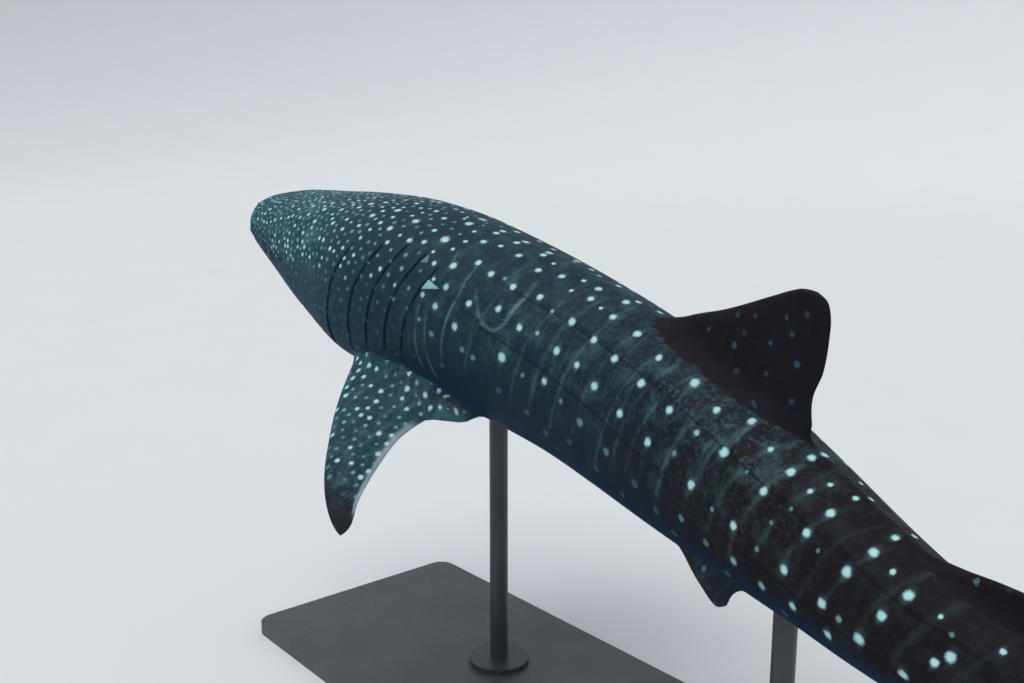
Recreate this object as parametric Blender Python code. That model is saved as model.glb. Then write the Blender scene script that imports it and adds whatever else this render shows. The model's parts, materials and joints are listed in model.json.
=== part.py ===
"""A whale shark as a still, life-size museum model, held by a plain stand.

The shark is first shaped along a straight axis: u runs back from the snout, v out to its left side and
w up, all as shares of its total length. The straight shape is then bent into the swimming curve, and an
empty called pose turns it nose up, banks it and lifts it over the stand. The origin is the middle of the
underside of the stand's base. The head looks along -X and the left side faces -Y.
"""

import math

import bmesh
import bpy
import numpy as np
from mathutils import Vector

LENGTH = 6.0  # from the snout to the tip of the tail fin's upper lobe, with the body straight
GAP = 0.0004  # between neighbouring pieces
TRIM_GAP = 0.0006  # between the body and what is trimmed to it

# Places along the body: u, half width, height of the back and depth of the belly
STATIONS = (
    (0.000, 0.0300, 0.0097, -0.0083),  # lips
    (0.010, 0.0444, 0.0222, -0.0163),  # front of the snout
    (0.030, 0.0508, 0.0291, -0.0256),  # corners of the mouth
    (0.060, 0.0556, 0.0376, -0.0380),  # eyes
    (0.110, 0.0648, 0.0514, -0.0556),  # end of the jaws
    (0.170, 0.0728, 0.0637, -0.0683),  # gills, the widest place
    (0.230, 0.0700, 0.0686, -0.0630),  # shoulders
    (0.300, 0.0613, 0.0691, -0.0586),  # highest place of the back
    (0.370, 0.0522, 0.0678, -0.0568),  # middle of the trunk
    (0.440, 0.0467, 0.0636, -0.0582),  # start of the first dorsal fin
    (0.520, 0.0404, 0.0523, -0.0535),  # pelvic fins
    (0.600, 0.0322, 0.0415, -0.0415),  # end of the trunk
    (0.680, 0.0241, 0.0319, -0.0307),  # second dorsal fin
    (0.740, 0.0187, 0.0264, -0.0235),  # tail stalk
    (0.790, 0.0148, 0.0218, -0.0180),  # root of the tail fin
    (0.815, 0.0095, 0.0250, -0.0150),  # flesh thinning out between the lobes
    (0.840, 0.0035, 0.0290, -0.0080),  # end of the flesh
)
PLACES, HALF_WIDTHS, BACKS, BELLIES = np.array(STATIONS).T

# The squareness of the cross-section, 2 being an ellipse
SQUARENESS = ((0.0, 2.6), (0.25, 2.35), (0.55, 2.2), (0.84, 2.0))

# The front edge of the head is blunt in plan: its corners lie this far behind its middle
SNOUT_BOW = 0.022
SNOUT_BOW_END = 0.10
SNOUT_BOW_POWER = 4

# The mouth is a wide, narrow slot with parted lips: u, half width, half height, from its back wall out
MOUTH = (
    (0.026, 0.0360, 0.0022),
    (0.012, 0.0410, 0.0036),
    (0.002, 0.0435, 0.0052),
)

# Ridges along the body: girth angle at their start and end, height, width in radians, start and end.
# A girth angle is 90 degrees at the middle of the back, 0 at the side and -90 at the middle of the belly.
RIDGES = {
    "upper": (56.0, 38.0, 0.0016, 0.10, 0.24, 0.66),
    "lower": (26.0, -16.0, 0.0014, 0.10, 0.26, 0.68),
}
RIDGE_RISE = 0.08  # the length over which a ridge rises to its height
RIDGE_FALL = (-0.02, 0.08)  # where it sinks again, from its end
BACK_RIDGE_HEIGHT = 0.0014
BACK_RIDGE_WIDTH = 0.12
BACK_RIDGE_START = 0.14
KEEL_HEIGHT = 0.0085  # the keel that runs out along each side of the tail stalk
KEEL_WIDTH = 0.20
KEEL_START = 0.62
KEEL_END = 0.83
KEEL_RISE = 0.12
KEEL_FALL = 0.05

# Where the body is parted
HEAD_END = 0.232
SHOULDER_END = 0.42
TRUNK_END = 0.62
STALK_END = 0.84
BODY_PARTS = (
    # name, start, end, number of rings
    ("head", 0.0, HEAD_END, 17),
    ("trunk_front", HEAD_END, SHOULDER_END, 10),
    ("trunk_rear", SHOULDER_END, TRUNK_END, 10),
    ("tail_stalk", TRUNK_END, STALK_END, 12),
)
GIRTH_POINTS = 40
HEAD_RING_CROWDING = 1.7  # above 1, the rings of the head crowd towards the snout

# The swimming curve: u, heading and climb of the body axis in degrees, seen from the middle of the trunk
SWIM_CURVE = (
    (0.00, 6.4, 0.0),
    (0.22, 6.4, 0.0),
    (0.40, 0.0, 0.0),
    (0.60, -15.0, 3.0),
    (0.80, 4.8, 8.4),
    (1.10, 6.0, 8.4),
)
AXIS_STEPS = 1200
POSE_CENTRE = 0.40  # the place on the axis that the pose turns about

NOSE_UP = math.radians(15.0)
BANK_LEFT = math.radians(2.3)
POSE_LOCATION = (0.45, 0.10, 1.48)

# Eyes
EYE_PLACE = 0.060
EYE_ANGLE = math.radians(-9.0)
EYE_RADIUS = 0.022
EYE_PROUD = 0.007  # how far the eyeball stands out of the head
EYE_SEGMENTS = 16
EYE_RINGS = 10

# Stand
BASE_SIZE = (2.9, 1.2, 0.06)
BASE_CORNER_RADIUS = 0.08
BASE_CORNER_SEGMENTS = 8
ROD_RADIUS = 0.042
FLANGE_RADIUS = 0.14
FLANGE_HEIGHT = 0.024
ROD_SIDES = 28
SHARP_ANGLE = math.radians(40)
ROD_PLACES = {"stand_rod_front": 0.285, "stand_rod_rear": 0.565}
ROD_INTO_BODY = 0.12

# Materials: colour, roughness, metallic
FINISHES = {
    "skin": ((0.035, 0.055, 0.065, 1.0), 0.5, 0.0),
    "eye": ((0.01, 0.01, 0.012, 1.0), 0.1, 0.0),
    "stand": ((0.10, 0.10, 0.11, 1.0), 0.45, 0.6),
}

FIN_POINTS = 18
TRAILING_EDGE = 0.003  # half thickness of a fin's trailing edge, in metres
BLADE_FULLNESS = 2.6  # makes the thickest place of a fin's section as thick as asked
FIN_TAPER = 1.2  # above 1, a fin thins faster near its root
THICKEST_SHARE = 0.16  # a fin's half thickness is at most this share of its chord
THINNEST = 0.0002  # and at least this

# Fins. Each lies in a flat plane through origin, with axes back and out. lead and trail are its two
# edges, as places (out, back) from the root to the tip. root and tip are half thicknesses.
FINS = {
    "dorsal_first": {
        "origin": (0.0, 0.0, 0.0),
        "back": (1, 0, 0),
        "out": (0, 0, 1),
        "lead": ((0.045, 0.392), (0.0660, 0.4150), (0.0735, 0.4315), (0.0824, 0.4456), (0.0925, 0.4637),
                 (0.1155, 0.4993), (0.1241, 0.5131), (0.1273, 0.5202), (0.1288, 0.5290)),
        "trail": ((0.045, 0.551), (0.055, 0.5565), (0.0620, 0.5485), (0.0745, 0.5452), (0.0908, 0.5480),
                  (0.1152, 0.5449), (0.1231, 0.5416), (0.1272, 0.5374), (0.1288, 0.5300)),
        "root": 0.0105,
        "tip": 0.0022,
        "rings": 12,
    },
    "dorsal_second": {
        "origin": (0.0, 0.0, 0.0),
        "back": (1, 0, 0),
        "out": (0, 0, 1),
        "lead": ((0.022, 0.628), (0.0385, 0.6480), (0.0407, 0.6630), (0.0432, 0.6740), (0.0448, 0.6820),
                 (0.0460, 0.6920), (0.0466, 0.7000)),
        "trail": ((0.022, 0.708), (0.0310, 0.7190), (0.0350, 0.7110), (0.0405, 0.7070), (0.0450, 0.7050),
                  (0.0466, 0.7015)),
        "root": 0.0060,
        "tip": 0.0016,
        "rings": 8,
    },
    "anal_fin": {
        "origin": (0.0, 0.0, 0.0),
        "back": (1, 0, 0),
        "out": (0, 0, -1),
        "lead": ((0.018, 0.650), (0.0330, 0.6680), (0.0450, 0.6880), (0.0550, 0.7010), (0.0580, 0.7080)),
        "trail": ((0.018, 0.702), (0.0300, 0.7180), (0.0380, 0.7120), (0.0500, 0.7110), (0.0580, 0.7095)),
        "root": 0.0050,
        "tip": 0.0014,
        "rings": 8,
    },
    "pectoral": {
        "origin": (0.215, 0.060, -0.046),
        "back": (0.9935, -0.1076, 0.0369),
        "out": (0.1134, 0.9111, -0.3963),
        "lead": ((-0.034, -0.034), (0.0058, -0.0213), (0.0416, -0.0029), (0.0758, 0.0218), (0.1014, 0.0456),
                 (0.1203, 0.0728), (0.1264, 0.0875), (0.1277, 0.0930)),
        "trail": ((-0.034, 0.078), (-0.012, 0.1000), (0.0000, 0.1035), (0.0090, 0.0940), (0.0219, 0.0675),
                  (0.0438, 0.0635), (0.0695, 0.0689), (0.0995, 0.0806), (0.1235, 0.0950), (0.1277, 0.0942)),
        "root": 0.0125,
        "tip": 0.0022,
        "rings": 13,
    },
    "pelvic": {
        "origin": (0.4928, 0.0309, -0.0451),
        "back": (1, 0, 0),
        "out": (0, 0.5524, -0.8336),
        "lead": ((-0.036, -0.030), (-0.010, 0.0000), (0.0022, 0.0228), (0.0062, 0.0400), (0.0080, 0.0506),
                 (0.0083, 0.0540)),
        "trail": ((-0.036, 0.044), (-0.012, 0.0650), (-0.0029, 0.0602), (0.0031, 0.0603), (0.0071, 0.0571),
                  (0.0083, 0.0548)),
        "root": 0.0060,
        "tip": 0.0014,
        "rings": 9,
    },
}
PAIRED_FINS = ("pectoral", "pelvic")

# The tail fin: its two edges as places (height, back), from the lower lobe's tip to the upper lobe's
TAIL_LEAD = ((-0.113, 0.8895), (-0.085, 0.8640), (-0.050, 0.8290), (-0.018, 0.7900), (0.0, 0.7760),
             (0.022, 0.7900), (0.060, 0.8340), (0.110, 0.8960), (0.160, 0.9620), (0.185, 0.9985))
TAIL_TRAIL = ((-0.113, 0.8925), (-0.095, 0.8890), (-0.050, 0.8700), (-0.018, 0.8540), (0.004, 0.8500),
              (0.030, 0.8720), (0.060, 0.9070), (0.110, 0.9560), (0.160, 0.9920), (0.185, 1.0000))
TAIL_TIPS = {"caudal_lower": -0.113, "caudal_upper": 0.185}
TAIL_ROOT = 0.0075
TAIL_TIP = 0.0018
TAIL_RINGS = 12


def clear_scene():
    for item in list(bpy.data.objects):
        bpy.data.objects.remove(item, do_unlink=True)


def smooth_curve(places, values, at):
    """A smooth curve through a few values, which never overshoots between them."""
    x = np.asarray(places, float)
    y = np.asarray(values, float)
    at = np.asarray(at, float)
    step = np.diff(x)
    rise = np.diff(y) / step
    slope = np.zeros_like(y)
    for i in range(1, len(x) - 1):
        if rise[i - 1] * rise[i] > 0:
            before = 2 * step[i] + step[i - 1]
            after = step[i] + 2 * step[i - 1]
            slope[i] = (before + after) / (before / rise[i - 1] + after / rise[i])
    slope[0] = rise[0]
    slope[-1] = rise[-1]
    i = np.clip(np.searchsorted(x, at) - 1, 0, len(x) - 2)
    t = np.clip((at - x[i]) / step[i], 0, 1)
    start = y[i] * (1 + 2 * t) * (1 - t) ** 2 + step[i] * slope[i] * t * (1 - t) ** 2
    end = y[i + 1] * t * t * (3 - 2 * t) + step[i] * slope[i + 1] * t * t * (t - 1)
    return start + end


def edge_at(edge, at):
    """How far back an edge given as (out, back) places lies at some distance out."""
    out, back = np.array(edge).T
    return smooth_curve(out, back, at)


def ramp(value, start, end):
    """0 before start, 1 after end, smooth between."""
    t = np.clip((value - start) / (end - start), 0.0, 1.0)
    return t * t * (3 - 2 * t)


def hump(angle, centre, width):
    """A bump on the girth, 1 at its centre, where angles wrap round."""
    away = (angle - centre + np.pi) % (2 * np.pi) - np.pi
    return np.exp(-((away / width) ** 2))


def relief(u, angle):
    """How far the ridges and keels stand out of the plain section, as a share of the length."""
    side = np.abs((angle + np.pi / 2) % (2 * np.pi) - np.pi) - np.pi / 2  # the same on both sides
    girth = -side
    total = BACK_RIDGE_HEIGHT * ramp(u, BACK_RIDGE_START, BACK_RIDGE_START + RIDGE_RISE)
    total = total * hump(girth, np.pi / 2, BACK_RIDGE_WIDTH)
    for first, last, height, width, start, end in RIDGES.values():
        along = np.clip((u - start) / (end - start), 0, 1)
        centre = math.radians(first) + (math.radians(last) - math.radians(first)) * along
        fall = 1 - ramp(u, end + RIDGE_FALL[0], end + RIDGE_FALL[1])
        strength = ramp(u, start, start + RIDGE_RISE) * fall
        total = total + height * strength * hump(girth, centre, width)
    keel = ramp(u, KEEL_START, KEEL_START + KEEL_RISE) * (1 - ramp(u, KEEL_END - KEEL_FALL, KEEL_END))
    return total + KEEL_HEIGHT * keel * hump(girth, 0.0, KEEL_WIDTH)


def girth_angles():
    """Angles round the body, from the left side over the back to the right side and the belly."""
    return np.arange(GIRTH_POINTS) * 2 * np.pi / GIRTH_POINTS


def superellipse(angle, power):
    c = np.cos(angle)
    s = np.sin(angle)
    return np.sign(c) * np.abs(c) ** (2 / power), np.sign(s) * np.abs(s) ** (2 / power)


def bowed_back(u, across):
    """How far the blunt front of the head bows back at some share of its half width."""
    fade = np.clip(1 - u / SNOUT_BOW_END, 0, 1) ** 2
    return SNOUT_BOW * fade * np.abs(across) ** SNOUT_BOW_POWER


def body_ring(u, swell=0.0):
    """The points of one cross-section of the body, swollen outwards by a few tenths of a millimetre."""
    angle = girth_angles()
    power = np.interp(u, *np.array(SQUARENESS).T)
    across, up = superellipse(angle, power)
    half_width = smooth_curve(PLACES, HALF_WIDTHS, u + bowed_back(u, 1.0)) + swell / LENGTH
    back = smooth_curve(PLACES, BACKS, u) + swell / LENGTH
    belly = smooth_curve(PLACES, BELLIES, u) - swell / LENGTH
    bump = relief(u, angle)
    v = half_width * across + bump * np.cos(angle)
    w = (back + belly) / 2 + (back - belly) / 2 * up + bump * np.sin(angle)
    return np.stack([u + bowed_back(u, across), v, w], axis=-1)


def mouth_ring(u, half_width, half_height):
    across, up = superellipse(girth_angles(), SQUARENESS[0][1])
    return np.stack([u + bowed_back(u, across), half_width * across, half_height * up], axis=-1)


def part_places(name, start, end, count):
    """Where the rings of one part of the body lie."""
    share = np.linspace(0, 1, count)
    if name == "head":
        share = share ** HEAD_RING_CROWDING
    places = start + (end - start) * share
    half_gap = GAP / LENGTH / 2
    if start > 0:
        places[0] += half_gap
    if end < STALK_END:
        places[-1] -= half_gap
    return places


def swim_axis():
    """The bent body axis: places along it, its points and its headings and climbs."""
    places, headings, climbs = np.array(SWIM_CURVE).T
    along = np.linspace(-0.02, places[-1], AXIS_STEPS)
    heading = smooth_curve(places, np.radians(headings), along)
    climb = smooth_curve(places, np.radians(climbs), along)
    direction = np.stack(
        [np.cos(heading) * np.cos(climb), np.sin(heading) * np.cos(climb), np.sin(climb)], axis=-1
    )
    steps = (direction[1:] + direction[:-1]) / 2 * np.diff(along)[:, None]
    points = np.vstack([np.zeros(3), np.cumsum(steps, axis=0)])
    centre = [np.interp(POSE_CENTRE, along, points[:, k]) for k in range(3)]
    return along, points - centre, heading, climb


def bend(points):
    """Straight places (u, v, w) carried onto the swimming curve, in metres."""
    points = np.asarray(points, float)
    along, axis, heading, climb = swim_axis()
    u = points[..., 0]
    centre = np.stack([np.interp(u, along, axis[:, k]) for k in range(3)], axis=-1)
    turn = np.interp(u, along, heading)
    lift = np.interp(u, along, climb)
    left = np.stack([np.sin(turn), -np.cos(turn), 0 * turn], axis=-1)
    up = np.stack([-np.sin(lift) * np.cos(turn), -np.sin(lift) * np.sin(turn), np.cos(lift)], axis=-1)
    return LENGTH * (centre + points[..., 1:2] * left + points[..., 2:3] * up)


def make_finish(name):
    colour, roughness, metallic = FINISHES[name]
    finish = bpy.data.materials.new(name)
    finish.use_nodes = True
    shader = finish.node_tree.nodes["Principled BSDF"]
    shader.inputs["Base Color"].default_value = colour
    shader.inputs["Roughness"].default_value = roughness
    shader.inputs["Metallic"].default_value = metallic
    return finish


def add_object(name, mesh, finish, parent=None):
    item = bpy.data.objects.new(name, mesh)
    bpy.context.scene.collection.objects.link(item)
    mesh.materials.append(finish)
    item.parent = parent
    return item


def loft(name, rings):
    """A closed mesh through rings of points, with a fan of triangles over each end."""
    rings = [np.asarray(ring, float) for ring in rings]
    count = len(rings[0])
    mesh = bmesh.new()
    rows = [[mesh.verts.new(point) for point in ring] for ring in rings]
    for first, second in zip(rows, rows[1:]):
        for j in range(count):
            k = (j + 1) % count
            mesh.faces.new((first[j], second[j], second[k]))
            mesh.faces.new((first[j], second[k], first[k]))
    for row, ring in ((rows[0], rings[0]), (rows[-1], rings[-1])):
        middle = mesh.verts.new(ring.mean(axis=0))
        for j in range(count):
            mesh.faces.new((row[j], row[(j + 1) % count], middle))
    bmesh.ops.recalc_face_normals(mesh, faces=mesh.faces)
    data = bpy.data.meshes.new(name)
    mesh.to_mesh(data)
    mesh.free()
    data.shade_smooth()
    return data


def body_part(part, finish, pose):
    name, start, end, count = part
    rings = [body_ring(u) for u in part_places(name, start, end, count)]
    if name == "head":
        rings = [mouth_ring(*place) for place in MOUTH] + rings
    return add_object(name, loft(name, [bend(ring) for ring in rings]), finish, pose)


def body_cutter(pose, finish):
    """The whole body, a little swollen, which trims the fins and the rods to its surface."""
    places = [u for part in BODY_PARTS for u in part_places(*part)]
    places[-1] += TRIM_GAP / LENGTH
    rings = [bend(body_ring(u, TRIM_GAP)) for u in places]
    return hide_cutter(add_object("body_cutter", loft("body_cutter", rings), finish, pose))


def hide_cutter(cutter):
    cutter.hide_render = True
    cutter.display_type = "WIRE"
    return cutter


def cut_away(item, cutter):
    cut = item.modifiers.new("trim to " + cutter.name, "BOOLEAN")
    cut.operation = "DIFFERENCE"
    cut.solver = "EXACT"
    cut.object = cutter


def half_thickness(root, tip, share, chord):
    """A fin's half thickness at some share of the way from its root to its tip."""
    tapered = tip + (root - tip) * (1 - share) ** FIN_TAPER
    return min(tapered, THICKEST_SHARE * chord + THINNEST)


def blade_section(chord_start, chord_end, half):
    """Points round a streamlined section: how far back each lies, and how far to one side."""
    angle = (np.arange(FIN_POINTS) + 0.5) * 2 * np.pi / FIN_POINTS
    share = (1 + np.cos(angle)) / 2
    fullness = BLADE_FULLNESS * np.sqrt(share) * (1 - share)
    edge = TRAILING_EDGE / LENGTH * share
    side = np.sign(np.sin(angle)) * (half * fullness + edge)
    return chord_start + (chord_end - chord_start) * share, side


def fin_rings(fin, mirror=False):
    """The cross-sections of a fin, from inside the body out to its tip, in straight places."""
    origin = np.array(fin["origin"], float)
    back = np.array(fin["back"], float)
    out = np.array(fin["out"], float)
    side = np.cross(back, out)
    root_out = fin["lead"][0][0]
    tip_out = fin["lead"][-1][0]
    rings = []
    for share in np.sin(np.linspace(0, np.pi / 2, fin["rings"])):
        reach = root_out + (tip_out - root_out) * share
        start = edge_at(fin["lead"], reach)
        end = edge_at(fin["trail"], reach)
        half = half_thickness(fin["root"], fin["tip"], share, end - start)
        along, across = blade_section(start, end, half)
        ring = origin + along[:, None] * back + reach * out + across[:, None] * side
        if mirror:
            ring = ring * (1, -1, 1)
        rings.append(ring)
    return rings


def add_fin(name, rings, finish, pose, cutter):
    fin = add_object(name, loft(name, [bend(ring) for ring in rings]), finish, pose)
    cut_away(fin, cutter)
    return fin


def tail_lobe_rings(tip_height):
    """Level cross-sections of one lobe of the tail fin, from the middle of the fork to its tip."""
    half_gap = math.copysign(GAP / LENGTH / 2, tip_height)
    rings = []
    for share in np.sin(np.linspace(0, np.pi / 2, TAIL_RINGS)):
        height = half_gap + (tip_height - half_gap) * share
        start = edge_at(TAIL_LEAD, height)
        end = edge_at(TAIL_TRAIL, height)
        half = half_thickness(TAIL_ROOT, TAIL_TIP, share, end - start)
        along, across = blade_section(start, end, half)
        rings.append(np.stack([along, across, np.full_like(along, height)], axis=-1))
    return rings


def ball(name, centre, radius, finish, pose):
    mesh = bmesh.new()
    bmesh.ops.create_uvsphere(mesh, u_segments=EYE_SEGMENTS, v_segments=EYE_RINGS, radius=radius)
    data = bpy.data.meshes.new(name)
    mesh.to_mesh(data)
    mesh.free()
    data.shade_smooth()
    item = add_object(name, data, finish, pose)
    item.location = centre
    return item


def eye_centre(side):
    """The middle of an eyeball, sunk in the head. side is 1 on the left and -1 on the right."""
    power = np.interp(EYE_PLACE, *np.array(SQUARENESS).T)
    across, up = superellipse(np.array([EYE_ANGLE]), power)
    half_width = smooth_curve(PLACES, HALF_WIDTHS, EYE_PLACE)
    back = smooth_curve(PLACES, BACKS, EYE_PLACE)
    belly = smooth_curve(PLACES, BELLIES, EYE_PLACE)
    depth = (EYE_RADIUS - EYE_PROUD) / LENGTH
    v = side * (half_width * across[0] - depth)
    w = (back + belly) / 2 + (back - belly) / 2 * up[0]
    return bend(np.array([EYE_PLACE, v, w]))


def add_eye(name, side, head, finishes, pose):
    centre = eye_centre(side)
    ball(name, centre, EYE_RADIUS, finishes["eye"], pose)
    socket = ball(name + "_socket", centre, EYE_RADIUS + TRIM_GAP, finishes["skin"], pose)
    cut_away(head, hide_cutter(socket))


def turned(name, profile, finish):
    """A closed round piece from its profile, a list of (radius, height) from the bottom up."""
    turn = np.arange(ROD_SIDES) * 2 * np.pi / ROD_SIDES
    rings = []
    for radius, height in profile:
        rings.append(np.stack([radius * np.cos(turn), radius * np.sin(turn), 0 * turn + height], axis=-1))
    data = loft(name, rings)
    data.set_sharp_from_angle(angle=SHARP_ANGLE)
    return add_object(name, data, finish)


def add_base(finish):
    length, width, height = BASE_SIZE
    mesh = bmesh.new()
    bmesh.ops.create_cube(mesh, size=1.0)
    bmesh.ops.scale(mesh, vec=BASE_SIZE, verts=mesh.verts)
    bmesh.ops.translate(mesh, vec=(0, 0, height / 2), verts=mesh.verts)
    corners = [edge for edge in mesh.edges if abs(edge.verts[0].co.z - edge.verts[1].co.z) > height / 2]
    rounding = {"offset": BASE_CORNER_RADIUS, "segments": BASE_CORNER_SEGMENTS, "profile": 0.5}
    bmesh.ops.bevel(mesh, geom=corners, affect="EDGES", **rounding)
    data = bpy.data.meshes.new("stand_base")
    mesh.to_mesh(data)
    mesh.free()
    add_object("stand_base", data, finish)


def add_rod(name, place, finish, pose, cutter):
    """An upright rod with a flange at its foot, trimmed to the belly above it."""
    belly = bend(np.array([place, 0.0, float(smooth_curve(PLACES, BELLIES, place))]))
    x, y, z = pose.matrix_world @ Vector(belly)
    foot = BASE_SIZE[2] + GAP
    profile = (
        (FLANGE_RADIUS, foot),
        (FLANGE_RADIUS, foot + FLANGE_HEIGHT),
        (ROD_RADIUS, foot + FLANGE_HEIGHT),
        (ROD_RADIUS, z + ROD_INTO_BODY),
    )
    rod = turned(name, profile, finish)
    rod.location = (x, y, 0)
    cut_away(rod, cutter)


def add_pose():
    """The empty that turns the shark nose up, banks it to its left and lifts it over the stand."""
    pose = bpy.data.objects.new("pose", None)
    bpy.context.scene.collection.objects.link(pose)
    pose.rotation_euler = (BANK_LEFT, NOSE_UP, 0)
    pose.location = POSE_LOCATION
    bpy.context.view_layer.update()
    return pose


def main():
    clear_scene()
    finishes = {name: make_finish(name) for name in FINISHES}
    skin = finishes["skin"]
    pose = add_pose()
    parts = {part[0]: body_part(part, skin, pose) for part in BODY_PARTS}
    cutter = body_cutter(pose, skin)
    for name, fin in FINS.items():
        if name in PAIRED_FINS:
            add_fin(name + "_left", fin_rings(fin), skin, pose, cutter)
            add_fin(name + "_right", fin_rings(fin, mirror=True), skin, pose, cutter)
        else:
            add_fin(name, fin_rings(fin), skin, pose, cutter)
    for name, tip_height in TAIL_TIPS.items():
        add_fin(name, tail_lobe_rings(tip_height), skin, pose, cutter)
    add_eye("eye_left", 1, parts["head"], finishes, pose)
    add_eye("eye_right", -1, parts["head"], finishes, pose)
    add_base(finishes["stand"])
    for name, place in ROD_PLACES.items():
        add_rod(name, place, finishes["stand"], pose, cutter)


main()
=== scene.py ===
import json
import math

import bmesh
import bpy
import numpy as np
from mathutils import Matrix, Vector, noise
from mathutils.kdtree import KDTree

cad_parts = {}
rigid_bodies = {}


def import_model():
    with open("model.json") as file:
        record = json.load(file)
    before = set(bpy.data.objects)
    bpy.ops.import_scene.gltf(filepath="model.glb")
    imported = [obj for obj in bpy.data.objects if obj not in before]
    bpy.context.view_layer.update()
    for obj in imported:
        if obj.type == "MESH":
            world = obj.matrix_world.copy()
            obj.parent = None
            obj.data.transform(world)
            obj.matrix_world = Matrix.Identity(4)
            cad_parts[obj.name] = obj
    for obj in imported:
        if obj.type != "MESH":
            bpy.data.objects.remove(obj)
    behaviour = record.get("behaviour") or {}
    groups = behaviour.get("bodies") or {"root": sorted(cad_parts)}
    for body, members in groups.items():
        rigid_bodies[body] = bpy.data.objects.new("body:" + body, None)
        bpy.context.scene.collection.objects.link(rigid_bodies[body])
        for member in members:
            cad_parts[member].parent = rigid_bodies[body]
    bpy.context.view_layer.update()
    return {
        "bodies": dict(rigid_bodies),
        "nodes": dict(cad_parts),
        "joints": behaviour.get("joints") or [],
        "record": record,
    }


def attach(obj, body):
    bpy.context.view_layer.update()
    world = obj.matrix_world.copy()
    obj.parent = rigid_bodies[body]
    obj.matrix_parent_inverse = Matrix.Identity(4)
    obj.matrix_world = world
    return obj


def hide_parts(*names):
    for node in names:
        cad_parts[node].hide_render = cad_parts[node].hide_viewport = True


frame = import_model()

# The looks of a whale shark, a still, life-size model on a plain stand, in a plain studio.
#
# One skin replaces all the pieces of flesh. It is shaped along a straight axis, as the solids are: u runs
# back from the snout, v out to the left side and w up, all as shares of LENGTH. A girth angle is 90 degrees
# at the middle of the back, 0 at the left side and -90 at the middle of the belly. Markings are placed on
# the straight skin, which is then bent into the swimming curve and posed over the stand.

LENGTH = 6.0  # metres, from the snout to the tip of the tail fin with the body straight

# Places along the body: u, half width, height of the back and depth of the belly
STATIONS = (
    (0.000, 0.0300, 0.0097, -0.0083),  # lips
    (0.010, 0.0444, 0.0222, -0.0163),  # front of the snout
    (0.030, 0.0508, 0.0291, -0.0256),  # corners of the mouth
    (0.060, 0.0556, 0.0376, -0.0380),  # eyes
    (0.110, 0.0648, 0.0514, -0.0556),  # end of the jaws
    (0.170, 0.0728, 0.0637, -0.0683),  # gills, the widest place
    (0.230, 0.0700, 0.0686, -0.0630),  # shoulders
    (0.300, 0.0613, 0.0691, -0.0586),  # highest place of the back
    (0.370, 0.0522, 0.0678, -0.0568),  # middle of the trunk
    (0.440, 0.0467, 0.0636, -0.0582),  # start of the first dorsal fin
    (0.520, 0.0404, 0.0523, -0.0535),  # pelvic fins
    (0.600, 0.0322, 0.0415, -0.0415),  # end of the trunk
    (0.680, 0.0241, 0.0319, -0.0307),  # second dorsal fin
    (0.740, 0.0187, 0.0264, -0.0235),  # tail stalk
    (0.790, 0.0148, 0.0218, -0.0180),  # root of the tail fin
    (0.815, 0.0095, 0.0250, -0.0150),  # flesh thinning out between the lobes
    (0.840, 0.0035, 0.0290, -0.0080),  # end of the flesh
)
PLACES, HALF_WIDTHS, BACKS, BELLIES = np.array(STATIONS).T
FLESH_END = 0.84

# The squareness of the cross-section, 2 being an ellipse
SQUARENESS = ((0.0, 2.6), (0.25, 2.35), (0.55, 2.2), (0.84, 2.0))

# The front edge of the head is blunt in plan: its corners lie this far behind its middle
SNOUT_BOW = 0.022
SNOUT_BOW_END = 0.10
SNOUT_BOW_POWER = 4

# The slot of the mouth: u, half width, half height, from its back wall out to the lips
MOUTH = (
    (0.026, 0.0360, 0.0022),
    (0.012, 0.0410, 0.0036),
    (0.002, 0.0435, 0.0052),
)
MOUTH_RINGS = 12
LIP_RINGS = 7
LIP_PROUD = 0.0013  # how far the rounded lips stand forward of the head's first ring

# Ridges along the body: girth angle at their start and end, height, width in radians, start and end
RIDGES = {
    "upper": (56.0, 38.0, 0.00075, 0.070, 0.24, 0.66),
    "lower": (26.0, -16.0, 0.00075, 0.070, 0.26, 0.68),
}
RIDGE_RISE = 0.08
RIDGE_FALL = (-0.02, 0.08)
RIDGE_GROOVE_DEPTH = 0.00045  # a crease that runs just under each ridge
RIDGE_GROOVE_WIDTH = 0.045
RIDGE_GROOVE_BELOW = 0.070
# The crease under each ridge holds a line of painted shade; CREASE_LINE is its half width
CREASE_LINE = 0.0007  # half width of the dark line in the crease
BACK_RIDGE_HEIGHT = 0.0014
BACK_RIDGE_WIDTH = 0.12
BACK_RIDGE_START = 0.14
KEEL_HEIGHT = 0.0085
KEEL_WIDTH = 0.20
KEEL_START = 0.62
KEEL_END = 0.83
KEEL_RISE = 0.12
KEEL_FALL = 0.05

# The swimming curve: u, heading and climb of the body axis in degrees
SWIM_CURVE = (
    (0.00, 6.4, 0.0),
    (0.22, 6.4, 0.0),
    (0.40, 0.0, 0.0),
    (0.60, -15.0, 3.0),
    (0.80, 4.8, 8.4),
    (1.10, 6.0, 8.4),
)
AXIS_STEPS = 1200
POSE_CENTRE = 0.40
NOSE_UP = math.radians(15.0)
BANK_LEFT = math.radians(2.3)
POSE_LOCATION = (0.45, 0.10, 1.48)

# The rings of the skin: from, to and step of u, and round each gill slit a closer set
RING_STEPS = (
    (0.000, 0.030, 0.0015),
    (0.030, 0.130, 0.0020),
    (0.130, 0.270, 0.0024),
    (0.270, FLESH_END, 0.0034),
)
SKIN_GIRTH = 184

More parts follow.
